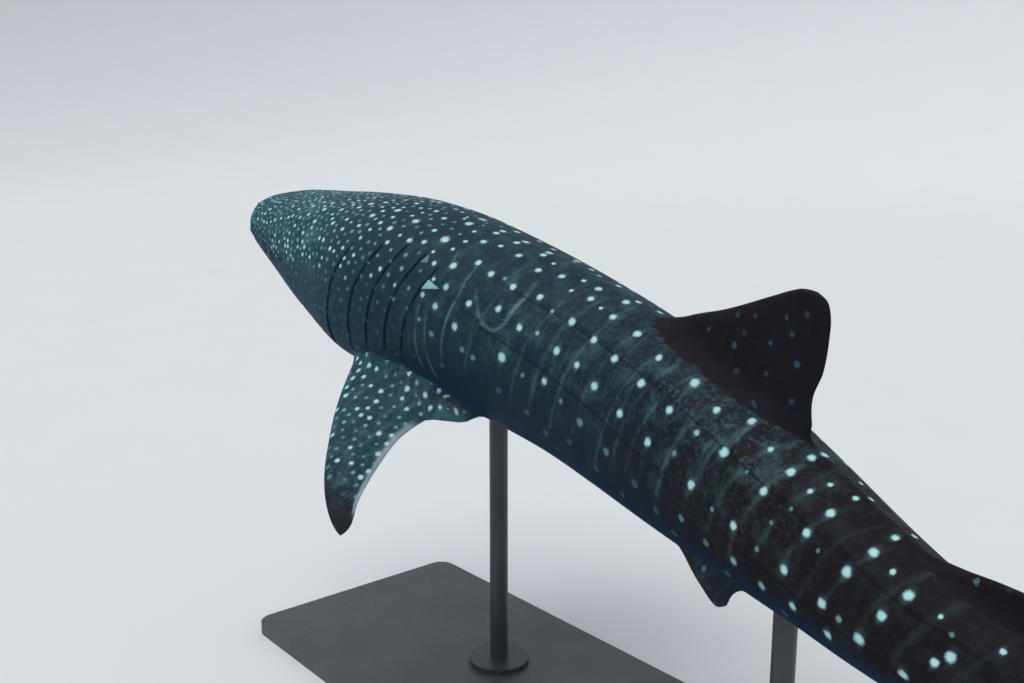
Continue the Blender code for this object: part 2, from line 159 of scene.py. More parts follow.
# Gill slits: u at the side of the body, and the girth angles of the lower and the upper end
GILL_SLITS = (
    (0.1620, -40.0, 38.0),
    (0.1875, -38.0, 46.0),
    (0.2070, -32.0, 55.0),
    (0.2265, -24.0, 52.0),
    (0.2440, -17.0, 46.0),
)
SLIT_CROWDING = (-0.0052, -0.0037, -0.0025, -0.0015, -0.0008, -0.0003, 0.0000, 0.0002, 0.0004, 0.0008,
                 0.0015, 0.0026, 0.0038, 0.0052)
SLIT_REACH = 0.0058
SLIT_PROFILE = (  # u behind the slit, and the height of the skin: a flap, then the slit behind its edge
    (-0.0060, 0.0), (-0.0030, 0.0003), (-0.0012, 0.0006), (-0.0003, 0.0007), (0.0000, -0.0004),
    (0.0002, -0.0015), (0.0004, -0.0014), (0.0008, -0.0005), (0.0022, -0.0002), (0.0050, 0.0),
)
SLIT_OVERHANG = 0.0004  # how far the edge of a flap leans back over its slit
SLIT_END_FADE = 9.0  # degrees over which a slit closes at its ends
SLIT_LEAN = 0.0135  # the upper ends of the slits lie this far behind their middles
SLIT_LEAN_ANGLES = (-10.0, 52.0)
LEAN_WINDOW = (0.115, 0.155, 0.270, 0.370)

# Folds of skin: u at the side, u at the belly, depth and width
THROAT_FOLDS = (
    (0.118, 0.104, 0.00030, 0.0022),
    (0.131, 0.120, 0.00035, 0.0022),
    (0.144, 0.136, 0.00035, 0.0024),
)
LIP_GROOVE = (0.0105, 0.00070, 0.0016)  # u, depth and width of the crease behind the lips
UNEVENNESS = 0.00035  # gentle lumps in the flesh
UNEVENNESS_SIZE = 0.045

# Eyes
EYE_PLACE = 0.060
EYE_FACING = 0.056  # the eye looks out as the body's surface does here
EYE_ANGLE = math.radians(-9.0)
EYE_RADIUS = 0.022
EYE_PROUD = 0.007
EYE_LIMITS = (0.06, 0.09)  # metres, in height and across, within which the skin is shaped for it
EYE_OPENING = (0.0148, 0.0180)  # metres from its middle at which the skin over it opens
EYE_OPENING_LEVEL = 0.004  # the skin there lies this far out from the eyeball's middle
# Folds round the eye in metres: height, distance from its middle, width, and where they are strong
EYE_FOLDS = (
    (0.0040, 0.0200, 0.0038, "round"),
    (-0.0020, 0.0295, 0.0030, "above"),
    (0.0022, 0.0370, 0.0060, "above"),
    (-0.0013, 0.0480, 0.0036, "far above"),
    (-0.0012, 0.0330, 0.0034, "below"),
)
EYE_TURNS = 48
CORNEA_EDGE = math.radians(34)
CORNEA_DOME = 0.0030
CORNEA_TIP = 0.0008
EYE_NODES = {"eye_left": 1, "eye_right": -1}

# Round openings of the head, in metres: u and girth angle, and how fine the skin is made round them
SPIRACLE_PLACE = (0.0805, -3.0)
SPIRACLE_SIZE = (0.015, 0.0095)
SPIRACLE_DEPTH = 0.020
NOSTRIL_PLACE = (0.0035, 52.0)
NOSTRIL_SIZE = (0.019, 0.0065)
NOSTRIL_DEPTH = 0.013
BARBEL_LENGTH = 0.011
OPENING_LIMITS = (0.05, 0.06)  # as EYE_LIMITS, for the spiracles and nostrils
REFINED_REACH = (0.090, 0.060)

FIN_POINTS = 50
TRAILING_EDGE = 0.003
BLADE_FULLNESS = 2.6
FIN_TAPER = 1.2
THICKEST_SHARE = 0.16
THINNEST = 0.0002
ROOT_FLARE = 0.9  # how much thicker a fin grows where it meets the body
ROOT_FLARE_REACH = 0.0060
ROOT_SWEEP = 0.0060  # how far its leading edge sweeps forward there
RING_FACTOR = 5.2  # rings of the skin for each ring of the solids

# Fins. Each lies in a flat plane through origin, with axes back and out. lead and trail are its two
# edges, as places (out, back) from the root to the tip. root and tip are half thicknesses.
FINS = {
    "dorsal_first": {
        "origin": (0.0, 0.0, 0.0),
        "back": (1, 0, 0),
        "out": (0, 0, 1),
        "lead": ((0.045, 0.392), (0.0660, 0.4150), (0.0735, 0.4315), (0.0824, 0.4456), (0.0925, 0.4637),
                 (0.1155, 0.4993), (0.1241, 0.5131), (0.1273, 0.5202), (0.1288, 0.5290)),
        "trail": ((0.045, 0.551), (0.055, 0.5565), (0.0620, 0.5485), (0.0745, 0.5452), (0.0908, 0.5480),
                  (0.1152, 0.5449), (0.1231, 0.5416), (0.1272, 0.5374), (0.1288, 0.5300)),
        "root": 0.0105,
        "tip": 0.0022,
        "rings": 12,
    },
    "dorsal_second": {
        "origin": (0.0, 0.0, 0.0),
        "back": (1, 0, 0),
        "out": (0, 0, 1),
        "lead": ((0.022, 0.628), (0.0385, 0.6480), (0.0407, 0.6630), (0.0432, 0.6740), (0.0448, 0.6820),
                 (0.0460, 0.6920), (0.0466, 0.7000)),
        "trail": ((0.022, 0.708), (0.0310, 0.7190), (0.0350, 0.7110), (0.0405, 0.7070), (0.0450, 0.7050),
                  (0.0466, 0.7015)),
        "root": 0.0060,
        "tip": 0.0016,
        "rings": 8,
    },
    "anal_fin": {
        "origin": (0.0, 0.0, 0.0),
        "back": (1, 0, 0),
        "out": (0, 0, -1),
        "lead": ((0.018, 0.650), (0.0330, 0.6680), (0.0450, 0.6880), (0.0550, 0.7010), (0.0580, 0.7080)),
        "trail": ((0.018, 0.702), (0.0300, 0.7180), (0.0380, 0.7120), (0.0500, 0.7110), (0.0580, 0.7095)),
        "root": 0.0050,
        "tip": 0.0014,
        "rings": 8,
    },
    "pectoral": {
        "origin": (0.215, 0.060, -0.046),
        "back": (0.9935, -0.1076, 0.0369),
        "out": (0.1134, 0.9111, -0.3963),
        "lead": ((-0.034, -0.034), (0.0058, -0.0213), (0.0416, -0.0029), (0.0758, 0.0218), (0.1014, 0.0456),
                 (0.1203, 0.0728), (0.1264, 0.0875), (0.1277, 0.0930)),
        "trail": ((-0.034, 0.078), (-0.012, 0.1000), (0.0000, 0.1035), (0.0090, 0.0940), (0.0219, 0.0675),
                  (0.0438, 0.0635), (0.0695, 0.0689), (0.0995, 0.0806), (0.1235, 0.0950), (0.1277, 0.0942)),
        "root": 0.0125,
        "tip": 0.0022,
        "rings": 13,
    },
    "pelvic": {
        "origin": (0.4928, 0.0309, -0.0451),
        "back": (1, 0, 0),
        "out": (0, 0.5524, -0.8336),
        "lead": ((-0.036, -0.030), (-0.010, 0.0000), (0.0022, 0.0228), (0.0062, 0.0400), (0.0080, 0.0506),
                 (0.0083, 0.0540)),
        "trail": ((-0.036, 0.044), (-0.012, 0.0650), (-0.0029, 0.0602), (0.0031, 0.0603), (0.0071, 0.0571),
                  (0.0083, 0.0548)),
        "root": 0.0060,
        "tip": 0.0014,
        "rings": 9,
    },
}
PAIRED_FINS = ("pectoral", "pelvic")

# The tail fin: its two edges as places (height, back), from the lower lobe's tip to the upper lobe's
TAIL_LEAD = ((-0.113, 0.8895), (-0.085, 0.8640), (-0.050, 0.8290), (-0.018, 0.7900), (0.0, 0.7760),
             (0.022, 0.7900), (0.060, 0.8340), (0.110, 0.8960), (0.160, 0.9620), (0.185, 0.9985))
TAIL_TRAIL = ((-0.113, 0.8925), (-0.095, 0.8890), (-0.050, 0.8700), (-0.018, 0.8540), (0.004, 0.8500),
              (0.030, 0.8720), (0.060, 0.9070), (0.110, 0.9560), (0.160, 0.9920), (0.185, 1.0000))
TAIL_TIPS = (-0.113, 0.185)
TAIL_ROOT = 0.0075
TAIL_TIP = 0.0018
TAIL_RINGS = 52  # for each lobe
FLESH_NODES = (
    "head", "trunk_front", "trunk_rear", "tail_stalk", "dorsal_first", "dorsal_second", "anal_fin",
    "pectoral_left", "pectoral_right", "pelvic_left", "pelvic_right", "caudal_upper", "caudal_lower",
)

# Where the fins meet the body the skin is drawn smooth
SEAM_REACH = 0.075
SEAM_ROUNDS = 30
NEW_POINT = 0.0004  # a point of the joined skin this far from all points of its parts lies on a seam

# Spots of the left side, read in rows from the shoulders to the tail: u, girth angle and, where
# they aren't 1, the size against SPOT_RADIUS and the strength
SPOT_RADIUS = 0.0028
SPOT_ROWS = (
    ((0.237, 86, 1.2), (0.262, 88), (0.283, 90), (0.309, 90), (0.323, 85, 0.6), (0.353, 84, 0.7), (0.367, 84),
     (0.390, 86), (0.412, 86), (0.5609, 82.4), (0.582, 76, 0.6), (0.5964, 83.4, 0.7), (0.6274, 81, 0.8)),
    ((0.266, 76), (0.279, 79, 0.8), (0.298, 78), (0.322, 73), (0.339, 78), (0.356, 70, 0.6), (0.372, 72),
     (0.384, 69, 0.6), (0.396, 68), (0.419, 67, 1.1), (0.439, 75), (0.444, 61), (0.475, 63, 1.2),
     (0.4995, 58), (0.520, 70), (0.543, 63, 0.7), (0.5624, 60), (0.579, 59, 0.65), (0.5964, 56.6),
     (0.6274, 55.5, 1.05), (0.641, 53, 0.6), (0.6538, 45.2, 1.05), (0.6705, 47, 0.5), (0.6992, 53, 0.6)),
    ((0.2668, 47.6, 1.1), (0.282, 57), (0.298, 53), (0.310, 54, 0.6, 0.6), (0.320, 51), (0.343, 53),
     (0.358, 48, 0.6, 0.6), (0.376, 48, 1.1), (0.398, 45), (0.419, 42, 1.1), (0.446, 38.5, 1.1),
     (0.474, 36, 1.1), (0.499, 36, 0.8, 0.7), (0.522, 38, 1.2), (0.542, 38, 0.5, 0.4), (0.558, 35),
     (0.578, 38, 0.5, 0.4), (0.5934, 31.7), (0.604, 27, 0.5, 0.35), (0.6228, 28.3, 1.1), (0.6478, 17.6),
     (0.6788, 39, 0.5, 0.35), (0.6826, 22.1), (0.678, 11.4, 0.8), (0.572, 21, 0.5, 0.4)),
    ((0.2721, 32.1, 1.0, 0.8), (0.296, 28, 1, 0.9), (0.320, 33, 1, 0.9), (0.342, 28), (0.357, 30, 0.65, 0.7),
     (0.377, 26, 1.1), (0.396, 25, 0.9, 0.9), (0.415, 20, 1.1), (0.441, 15, 1.1), (0.469, 11, 1.1),
     (0.491, 16, 0.7, 0.5), (0.511, 7, 1.1), (0.531, 3, 0.6, 0.5), (0.549, 3), (0.569, 0, 0.6, 0.4),
     (0.5896, 0, 1.1), (0.6168, -3.1, 1.1), (0.6281, -5, 0.7, 0.6), (0.641, -8.3, 1.2), (0.6659, -12.8, 1.1)),
    ((0.270, 18, 1, 0.8), (0.291, 11, 1.1, 0.9), (0.301, 1, 0.9), (0.3115, 0, 0.9), (0.336, 6.5, 1.4, 1.6),
     (0.356, 3, 0.7, 0.7), (0.375, 6), (0.392, 1.5, 0.7, 0.7), (0.411, -2, 1.1), (0.437, -8, 1.1),
     (0.465, -15, 1.2), (0.485, -24), (0.508, -15), (0.530, -20), (0.553, -19), (0.575, -24), (0.598, -23),
     (0.622, -26)),
    ((0.272, 2, 0.9), (0.284, -12, 0.8), (0.337, -11), (0.363, -16), (0.380, -24), (0.403, -18), (0.428, -25),
     (0.452, -32), (0.500, -34), (0.545, -38), (0.590, -40)),
)
MATCHED_JITTER = (0.0035, 2.6)  # the right side's spots lie this far, in u and degrees, from the left side's
TAIL_SPOT_SPACING = 0.0165
TAIL_SPOTS = (0.69, 0.815)

# Spots of the head and shoulders: larger ones listed one by one, then small ones filled in between
HEAD_LARGE = (
    (0.147, 74, 1.0), (0.1665, 62, 0.95), (0.178, 74.5, 1.1), (0.194, 56, 1.0), (0.205, 69.5, 1.2),
    (0.2192, 52.1, 0.9), (0.2268, 67.6, 0.8), (0.2306, 55.5, 0.8), (0.2419, 64.1, 1.35), (0.143, 67, 0.8),
    (0.155, 80, 0.9), (0.108, 66, 0.8), (0.092, 57, 0.7), (0.110, 56, 0.9), (0.129, 60, 0.8),
    (0.203, 45, 0.7), (0.226, 41.4, 0.7, 0.5), (0.2517, 43.8, 0.75, 1.2), (0.181, 58, 0.8),
    (0.217, 82, 0.85), (0.202, 86, 0.9), (0.176, 88, 0.9), (0.2563, 21.7, 0.8, 0.7), (0.137, 45, 0.8),
    (0.114, 41, 0.8), (0.099, 46, 0.7), (0.153, 43, 0.7), (0.166, 50, 0.7),
)
HEAD_SPOT_RADII = ((0.0, 0.0011), (0.03, 0.0014), (0.10, 0.0018), (0.20, 0.0019), (0.27, 0.0019))
HEAD_SPOT_SPACING = (
    (0.0, 0.0031), (0.04, 0.0039), (0.10, 0.0047), (0.16, 0.0056), (0.20, 0.0072), (0.27, 0.0120),
)
HEAD_SPOTS_END = 0.262
HEAD_SPOTS_BRIGHT = 0.30  # this share of the head's small spots is bright, the others are dim
# Spots fade low on the flanks, round this girth angle at each u: partly their own paleness, partly painted
# shade on the low flank
SPOTS_FADE = (
    (0.0, -6), (0.06, -4), (0.11, 3), (0.16, 12), (0.21, 14), (0.28, 6), (0.45, -2), (0.54, -16),
    (0.62, -34), (0.84, -44),
)
SPOTS_FADE_LENGTH = 24  # degrees
SPOTS_FADED = 0.24
SPOT_TRIES = 20000
SMALL_SPOT_ANGLES = (-70, 90)
BRIGHT_SPOTS = ((0.85, 1.15), (0.75, 1.0))  # sizes and strengths of the bright small spots
DIM_SPOTS = ((0.75, 1.05), (0.30, 0.6))
SMALL_TAIL_SPOT = 0.7
SPOT_CLEARANCE = 2.3  # small spots keep this many radii from the centres of the larger ones
SEAM_CLEARANCE = 1.15

# Spots of the fins: spacing, radius, strength and the share of the fin's reach where they fade
FIN_SPOTS = {
    "pectoral": (0.0068, 0.0020, 1.0, 0.88),
    "pelvic": (0.0105, 0.0018, 0.40, 0.85),
    "dorsal_second": (0.0130, 0.0018, 0.30, 0.95),
    "anal_fin": (0.0120, 0.0017, 0.30, 0.95),
    "caudal": (0.0150, 0.0022, 0.45, 0.97),
}
FIN_SPOT_TRIES = 2600
FIN_SPOTS_BRIGHT = 0.45
TAIL_SPOT_TRIES = 3000
DORSAL_SPOT_SIZES = (0.55, 0.8)
DORSAL_SPOT_STRENGTHS = (0.10, 0.22)
# Spots of the first dorsal fin, (out, back)
DORSAL_SPOTS = (
    (0.0960, 0.4794), (0.1011, 0.4930), (0.0890, 0.4893), (0.0795, 0.4848), (0.0915, 0.5098),
    (0.1019, 0.5227), (0.1092, 0.5160), (0.0876, 0.5310), (0.0669, 0.4922), (0.0739, 0.5123),
    (0.0557, 0.5126), (0.0666, 0.5335), (0.0800, 0.4620), (0.1160, 0.5290),
)

# Pale strokes of the left side: half width, strength and places (u, girth angle)
STROKES = (
    (0.0019, 0.50, ((0.295, 41), (0.299, 33), (0.303, 29), (0.3085, 23), (0.3145, 19.5), (0.322, 19),
                    (0.3275, 22), (0.3296, 27))),
    (0.0023, 0.72, ((0.3275, 22), (0.3296, 27), (0.3305, 33), (0.3315, 40), (0.3334, 50), (0.3325, 57),
                    (0.3296, 66))),
    (0.0014, 0.55, ((0.2827, 60), (0.2838, 50), (0.284, 41), (0.285, 30), (0.284, 22), (0.2825, 12),
                    (0.282, 0), (0.284, -10))),
    (0.0012, 0.34, ((0.2600, 62), (0.2625, 54), (0.2650, 44))),
    (0.0012, 0.34, ((0.2565, 16), (0.2560, 8), (0.2585, -6), (0.266, -22))),
    (0.0012, 0.34, ((0.2640, 14), (0.2660, 0), (0.2720, -14), (0.2790, -26))),
    (0.0008, 0.55, ((0.2582, 37), (0.2578, 35), (0.2576, 32))),
)
# Pale scars behind the last gill slits of the left side: three corners (u, girth angle) and strength
SCARS = (
    ((0.2522, 24.2), (0.2548, 32.6), (0.2684, 29.2), 1.0),
    ((0.2400, 40.6), (0.2424, 48.8), (0.2468, 42.4), 0.42),
)
# Soft pale bars between the columns of spots: u at the side
BARS = (0.3060, 0.3495, 0.3665, 0.3870, 0.4070, 0.4300, 0.4440, 0.4580, 0.4865, 0.5100, 0.5320, 0.5515,
        0.5690, 0.5870, 0.6040, 0.6190, 0.6400, 0.6620, 0.6880, 0.7080, 0.7300, 0.7520, 0.7740)
BAR_LEAN = 0.00018  # u for each degree, so that bars run down and forward
BAR_WIDTH = 0.0019
BAR_STRENGTHS = (0.14, 0.30)
BAR_FADE = ((0.0, 1.0), (0.42, 1.0), (0.54, 0.55), (0.60, 0.25), (1.0, 0.2))
BAR_ANGLES = (90.0, -30.0)
BAR_STEPS = 34
BAR_SWAY = 0.00022
STROKE_STEP = 0.0016
STROKE_ENDS = (0.016, 0.030)  # metres past its last sample over which a stroke fades out

# How the tone changes along the body, from the head's (0) to the hind end's (1), partly the skin's own tone
# and partly painted light that leaves the head lighter and the hind end darker, and where its pale underside
# begins, as a girth angle
TONES_ALONG = (
    (0.0, 0.0), (0.08, 0.06), (0.17, 0.28), (0.25, 0.42), (0.34, 0.55), (0.45, 0.76), (0.56, 0.97),
    (1.0, 1.0),
)
PALE_EDGE = (
    (0.0, -20), (0.05, -27), (0.15, -42), (0.25, -50), (0.45, -54), (0.65, -56), (0.84, -62),
)
# The pectoral fins' tone varies, and the fins that aren't named here have the hind end's
FIN_TONES = {"dorsal_first": 0.92, "pelvic": 0.8}
FIN_MOTTLE = {"pectoral": 0.95, "pelvic": 0.2}
OTHER_FIN_MOTTLE = 0.03

# The unwrap: its scale for each metre, the gap between its islands, where the body's strip lies and how
# high it is, and where the inside of the mouth lies
MAP_SCALE = 1 / 6.4
MAP_GAP = 0.01
MAP_BODY = (0.01, 0.61, 0.36)
MAP_MOUTH = 0.86

FAR = 9.0  # stands for a place beyond the reach of any mark
SEED = 11

FLOOR_RADII = (6.0, 20.0)
FLOOR_RADIUS = 32.0
SWEEP_RADIUS = 16.0
SWEEP_STEPS = 16
WALL_HEIGHT = 22.0
FLOOR_TURNS = 96
SUN_TOWARDS = (-0.15, -0.40, 0.90)
SUN_STRENGTH = 1.7
SUN_SPREAD = math.radians(50)
SUN_TONE = (1.0, 0.995, 0.98)
SKY_TONE = (0.88, 0.92, 0.96, 1.0)
SKY_STRENGTH = 0.62

# The camera at the photograph's viewing angle
CAMERA_PLACE = (3.326, -2.893, 2.558)
CAMERA_RIGHT = (0.6432, 0.7657, 0.0006)
CAMERA_UP = (-0.1528, 0.1276, 0.9800)
FOCAL_PIXELS = 1075.2
PHOTO_WIDTH = 1024
SENSOR_WIDTH = 36.0


def smooth_curve(places, values, at):
    """A smooth curve through a few values, which never overshoots between them."""
    x = np.asarray(places, float)
    y = np.asarray(values, float)
    at = np.asarray(at, float)
    step = np.diff(x)
    rise = np.diff(y) / step
    slope = np.zeros_like(y)
    for i in range(1, len(x) - 1):
        if rise[i - 1] * rise[i] > 0:
            before = 2 * step[i] + step[i - 1]
            after = step[i] + 2 * step[i - 1]
            slope[i] = (before + after) / (before / rise[i - 1] + after / rise[i])
    slope[0] = rise[0]
    slope[-1] = rise[-1]
    i = np.clip(np.searchsorted(x, at) - 1, 0, len(x) - 2)
    t = np.clip((at - x[i]) / step[i], 0, 1)
    start = y[i] * (1 + 2 * t) * (1 - t) ** 2 + step[i] * slope[i] * t * (1 - t) ** 2
    end = y[i + 1] * t * t * (3 - 2 * t) + step[i] * slope[i + 1] * t * t * (t - 1)
    return start + end


def edge_at(edge, at):
    """How far back an edge given as (out, back) places lies at some distance out."""
    out, back = np.array(edge).T
    return smooth_curve(out, back, at)


def ramp(value, start, end):
    """0 before start, 1 after end, smooth between."""
    t = np.clip((value - start) / (end - start), 0.0, 1.0)
    return t * t * (3 - 2 * t)


def table_at(table, at):
    """A value read from a short table of (place, value)."""
    return np.interp(at, *np.array(table, float).T)


def unit(vectors):
    return vectors / (np.linalg.norm(vectors, axis=-1, keepdims=True) + 1e-12)


def girth_of(angle):
    """The girth angle, in radians, of an angle that runs on round the body: the same on both sides."""
    return np.pi / 2 - np.abs((angle + np.pi / 2) % (2 * np.pi) - np.pi)


def bulge(value, centre, width):
    """A smooth bump, 1 at its centre."""
    return np.exp(-(((value - centre) / width) ** 2))


def hump(angle, centre, width):
    """A bump on the girth, where angles wrap round."""
    return bulge((angle - centre + np.pi) % (2 * np.pi) - np.pi, 0, width)


def ridge_centre(ridge, u):
    first, last, _, _, start, end = ridge
    along = np.clip((u - start) / (end - start), 0, 1)
    return math.radians(first) + (math.radians(last) - math.radians(first)) * along


def ridge_strength(ridge, u):
    start, end = ridge[4:]
    return ramp(u, start, start + RIDGE_RISE) * (1 - ramp(u, end + RIDGE_FALL[0], end + RIDGE_FALL[1]))


def relief(u, angle):
    """How far the ridges and keels stand out of the plain section, as a share of the length."""
    girth = girth_of(angle)
    total = BACK_RIDGE_HEIGHT * ramp(u, BACK_RIDGE_START, BACK_RIDGE_START + RIDGE_RISE)
    total = total * hump(girth, np.pi / 2, BACK_RIDGE_WIDTH)
    for ridge in RIDGES.values():
        centre = ridge_centre(ridge, u)
        total = total + ridge[2] * ridge_strength(ridge, u) * hump(girth, centre, ridge[3])
    keel = ramp(u, KEEL_START, KEEL_START + KEEL_RISE) * (1 - ramp(u, KEEL_END - KEEL_FALL, KEEL_END))
    return total + KEEL_HEIGHT * keel * hump(girth, 0.0, KEEL_WIDTH)


def superellipse(angle, power):
    c = np.cos(angle)
    s = np.sin(angle)
    return np.sign(c) * np.abs(c) ** (2 / power), np.sign(s) * np.abs(s) ** (2 / power)


def bowed_back(u, across):
    """How far the blunt front of the head bows back at some share of its half width."""
    fade = np.clip(1 - u / SNOUT_BOW_END, 0, 1) ** 2
    return SNOUT_BOW * fade * np.abs(across) ** SNOUT_BOW_POWER


def section(u):
    """The half width, the back and the belly of the cross-section at some places."""
    half_width = smooth_curve(PLACES, HALF_WIDTHS, u + bowed_back(u, 1.0))
    return half_width, smooth_curve(PLACES, BACKS, u), smooth_curve(PLACES, BELLIES, u)


def body_points(u, angle):
    """Points of the body's surface at places u and angles round it, as straight places."""
    across, up = superellipse(angle, table_at(SQUARENESS, u))
    half_width, back, belly = section(u)
    bump = relief(u, angle)
    v = half_width * across + bump * np.cos(angle)
    w = (back + belly) / 2 + (back - belly) / 2 * up + bump * np.sin(angle)
    return np.stack([u + bowed_back(u, across), v, w], axis=-1)


def above_flesh(points):
    """Roughly how far straight places lie outside the body."""
    u = np.clip(points[..., 0], 0, FLESH_END)
    power = table_at(SQUARENESS, u)
    half_width, back, belly = section(u)
    across = points[..., 1]
    up = points[..., 2] - (back + belly) / 2
    reach = np.abs(across / half_width) ** power + np.abs(up / ((back - belly) / 2)) ** power
    reach = np.maximum(reach, 1e-6) ** (1 / power)
    return np.hypot(across, up) * (1 - 1 / reach)


def swim_axis():
    """The bent body axis: places along it, its points and its headings and climbs."""
    places, headings, climbs = np.array(SWIM_CURVE).T
    along = np.linspace(-0.02, places[-1], AXIS_STEPS)
    heading = smooth_curve(places, np.radians(headings), along)
    climb = smooth_curve(places, np.radians(climbs), along)
    direction = np.stack(
        [np.cos(heading) * np.cos(climb), np.sin(heading) * np.cos(climb), np.sin(climb)], axis=-1
    )
    steps = (direction[1:] + direction[:-1]) / 2 * np.diff(along)[:, None]
    points = np.vstack([np.zeros(3), np.cumsum(steps, axis=0)])
    centre = [np.interp(POSE_CENTRE, along, points[:, k]) for k in range(3)]
    return along, points - centre, heading, climb


def bend(points):
    """Straight places (u, v, w) carried onto the swimming curve, in metres."""
    along, axis, heading, climb = swim_axis()
    u = points[..., 0]
    centre = np.stack([np.interp(u, along, axis[:, k]) for k in range(3)], axis=-1)
    turn = np.interp(u, along, heading)
    lift = np.interp(u, along, climb)
    left = np.stack([np.sin(turn), -np.cos(turn), 0 * turn], axis=-1)
    up = np.stack([-np.sin(lift) * np.cos(turn), -np.sin(lift) * np.sin(turn), np.cos(lift)], axis=-1)
    return LENGTH * (centre + points[..., 1:2] * left + points[..., 2:3] * up)


def to_world(points):
    """Straight places carried onto the swimming curve and posed over the stand, in metres."""
    pose = np.array(Matrix.Rotation(NOSE_UP, 3, "Y") @ Matrix.Rotation(BANK_LEFT, 3, "X"))
    return bend(np.asarray(points, float)) @ pose.T + np.array(POSE_LOCATION)


def ring_places():
    """Where the rings of the skin lie, crowded round each gill slit."""
    places = np.concatenate([np.arange(*steps) for steps in RING_STEPS])
    for slit, _, _ in GILL_SLITS:
        places = places[np.abs(places - slit) > SLIT_REACH]
        places = np.append(places, slit + np.array(SLIT_CROWDING))
    return np.append(np.sort(places), FLESH_END)


def slit_lean(place, girth):
    """How far the skin's rings lean back at some girth angle, to run along the gill slits."""
    start, full, fading, end = LEAN_WINDOW
    window = ramp(place, start, full) * (1 - ramp(place, fading, end))
    return SLIT_LEAN * window * ramp(np.degrees(girth), *SLIT_LEAN_ANGLES)


def slit_strengths(girth):
    """How far open each gill slit is at some girth angles."""
    angle = np.degrees(girth)
    for place, low, high in GILL_SLITS:
        opening = ramp(angle, low, low + SLIT_END_FADE) * (1 - ramp(angle, high - SLIT_END_FADE, high))
        yield place, opening


def lumps(points, size):
    """Smooth unevenness between -1 and 1 at straight places."""
    flat = points.reshape(-1, 3) / size
    values = [noise.noise(Vector(point)) for point in flat.tolist()]
    return np.array(values).reshape(points.shape[:-1])


def skin_height(place, u, angle, points):
    """How far slits, creases and unevenness move the skin out, as a share of the length."""
    girth = girth_of(angle)
    height = 0 * u
    for slit, opening in slit_strengths(girth):
        height = height + opening * table_at(SLIT_PROFILE, place - slit)
    for ridge in RIDGES.values():
        crease = hump(girth, ridge_centre(ridge, u) - RIDGE_GROOVE_BELOW, RIDGE_GROOVE_WIDTH)
        height = height - RIDGE_GROOVE_DEPTH * ridge_strength(ridge, u) * crease
    lip_place, lip_depth, lip_width = LIP_GROOVE
    height = height - lip_depth * bulge(u, lip_place, lip_width)
    below = ramp(-np.degrees(girth), -5.0, 60.0)
    for side, belly, depth, width in THROAT_FOLDS:
        middle = side + (belly - side) * below
        height = height - depth * ramp(-np.degrees(girth), 0.0, 25.0) * bulge(u, middle, width)
    return height + UNEVENNESS * lumps(points, UNEVENNESS_SIZE)


def slit_shift(place, angle):
    """How far back the edges of the gill flaps lean."""
    shift = 0 * place
    for slit, opening in slit_strengths(girth_of(angle)):
        shift = shift + SLIT_OVERHANG * opening * bulge(place - slit, -0.0006, 0.0007)
    return shift


def grid_normals(points):
    """Outward normals of a grid of points whose second side runs round the body."""
    along = np.gradient(points, axis=0)
    around = np.roll(points, -1, axis=1) - np.roll(points, 1, axis=1)
    return unit(np.cross(around, along))


def mouth_rings(angles):
    """Rings from the back wall of the mouth out to its edge."""
    steps = np.linspace(0, len(MOUTH) - 1, MOUTH_RINGS)
    u, half_width, half_height = (smooth_curve(range(len(MOUTH)), column, steps) for column in zip(*MOUTH))
    across, up = superellipse(angles, SQUARENESS[0][1])
    v = half_width[:, None] * across
    w = half_height[:, None] * up
    return np.stack([u[:, None] + bowed_back(u[:, None], across), v, w], axis=-1)


def lip_rings(inner, outer):
    """Rounded rings between the edge of the mouth and the first ring of the head."""
    rings = []
    for share in np.linspace(0, 1, LIP_RINGS + 2)[1:-1]:
        ring = inner + (outer - inner) * (1 - np.cos(share * np.pi)) / 2
        ring[:, 0] -= LIP_PROUD * np.sin(share * np.pi)
        rings.append(ring)
    return np.array(rings)


def body_grid():
    """The points of the skin of the body, and the place and angle of each."""
    place = ring_places()[:, None]
    angle = (np.arange(SKIN_GIRTH) * 2 * np.pi / SKIN_GIRTH)[None, :]
    place, angle = np.broadcast_arrays(place, angle)
    u = place + slit_lean(place, girth_of(angle))
    plain = body_points(u, angle)
    height = skin_height(place, u, angle, plain)
    shifted = body_points(u + slit_shift(place, angle), angle)
    points = shifted + grid_normals(plain) * height[..., None]
    inner = mouth_rings(angle[0])
    lips = lip_rings(inner[-1], points[0])
    front = np.concatenate([inner, lips])
    front_u = np.zeros(front.shape[:2])
    front_angle = np.broadcast_to(angle[0], front.shape[:2])
    # Painted shade: the inside of the mouth is painted dark, fading out over the lips
    mouth = np.concatenate([np.linspace(3, 1, MOUTH_RINGS), np.linspace(1, 0, LIP_RINGS + 1)[:-1] * 0.8])
    inside = np.broadcast_to(np.clip(mouth, 0, 1)[:, None], front.shape[:2])
    # Painted shade in the gill slits, where the skin dips deepest
    slit = 0.55 * ramp(-height, 0.0007, 0.0015) * (place > 0.15) * (place < 0.26)
    return {
        "points": np.concatenate([front, points]),
        "u": np.concatenate([front_u, u]),
        "angle": np.concatenate([front_angle, angle]),
        "inside": np.concatenate([inside, slit]),
    }


def loft_faces(rows, count):
    """Quads between rings of points and a fan over each end, where two more points follow the grid."""
    faces = []
    for i in range(rows - 1):
        for j in range(count):
            k = (j + 1) % count
            faces.append((i * count + j, (i + 1) * count + j, (i + 1) * count + k, i * count + k))
    first_middle = rows * count
    last = (rows - 1) * count
    for j in range(count):
        k = (j + 1) % count
        faces.append((j, k, first_middle))
        faces.append((last + k, last + j, first_middle + 1))
    return faces


def add_object(name, data):
    item = bpy.data.objects.new(name, data)
    bpy.context.scene.collection.objects.link(item)
    return item


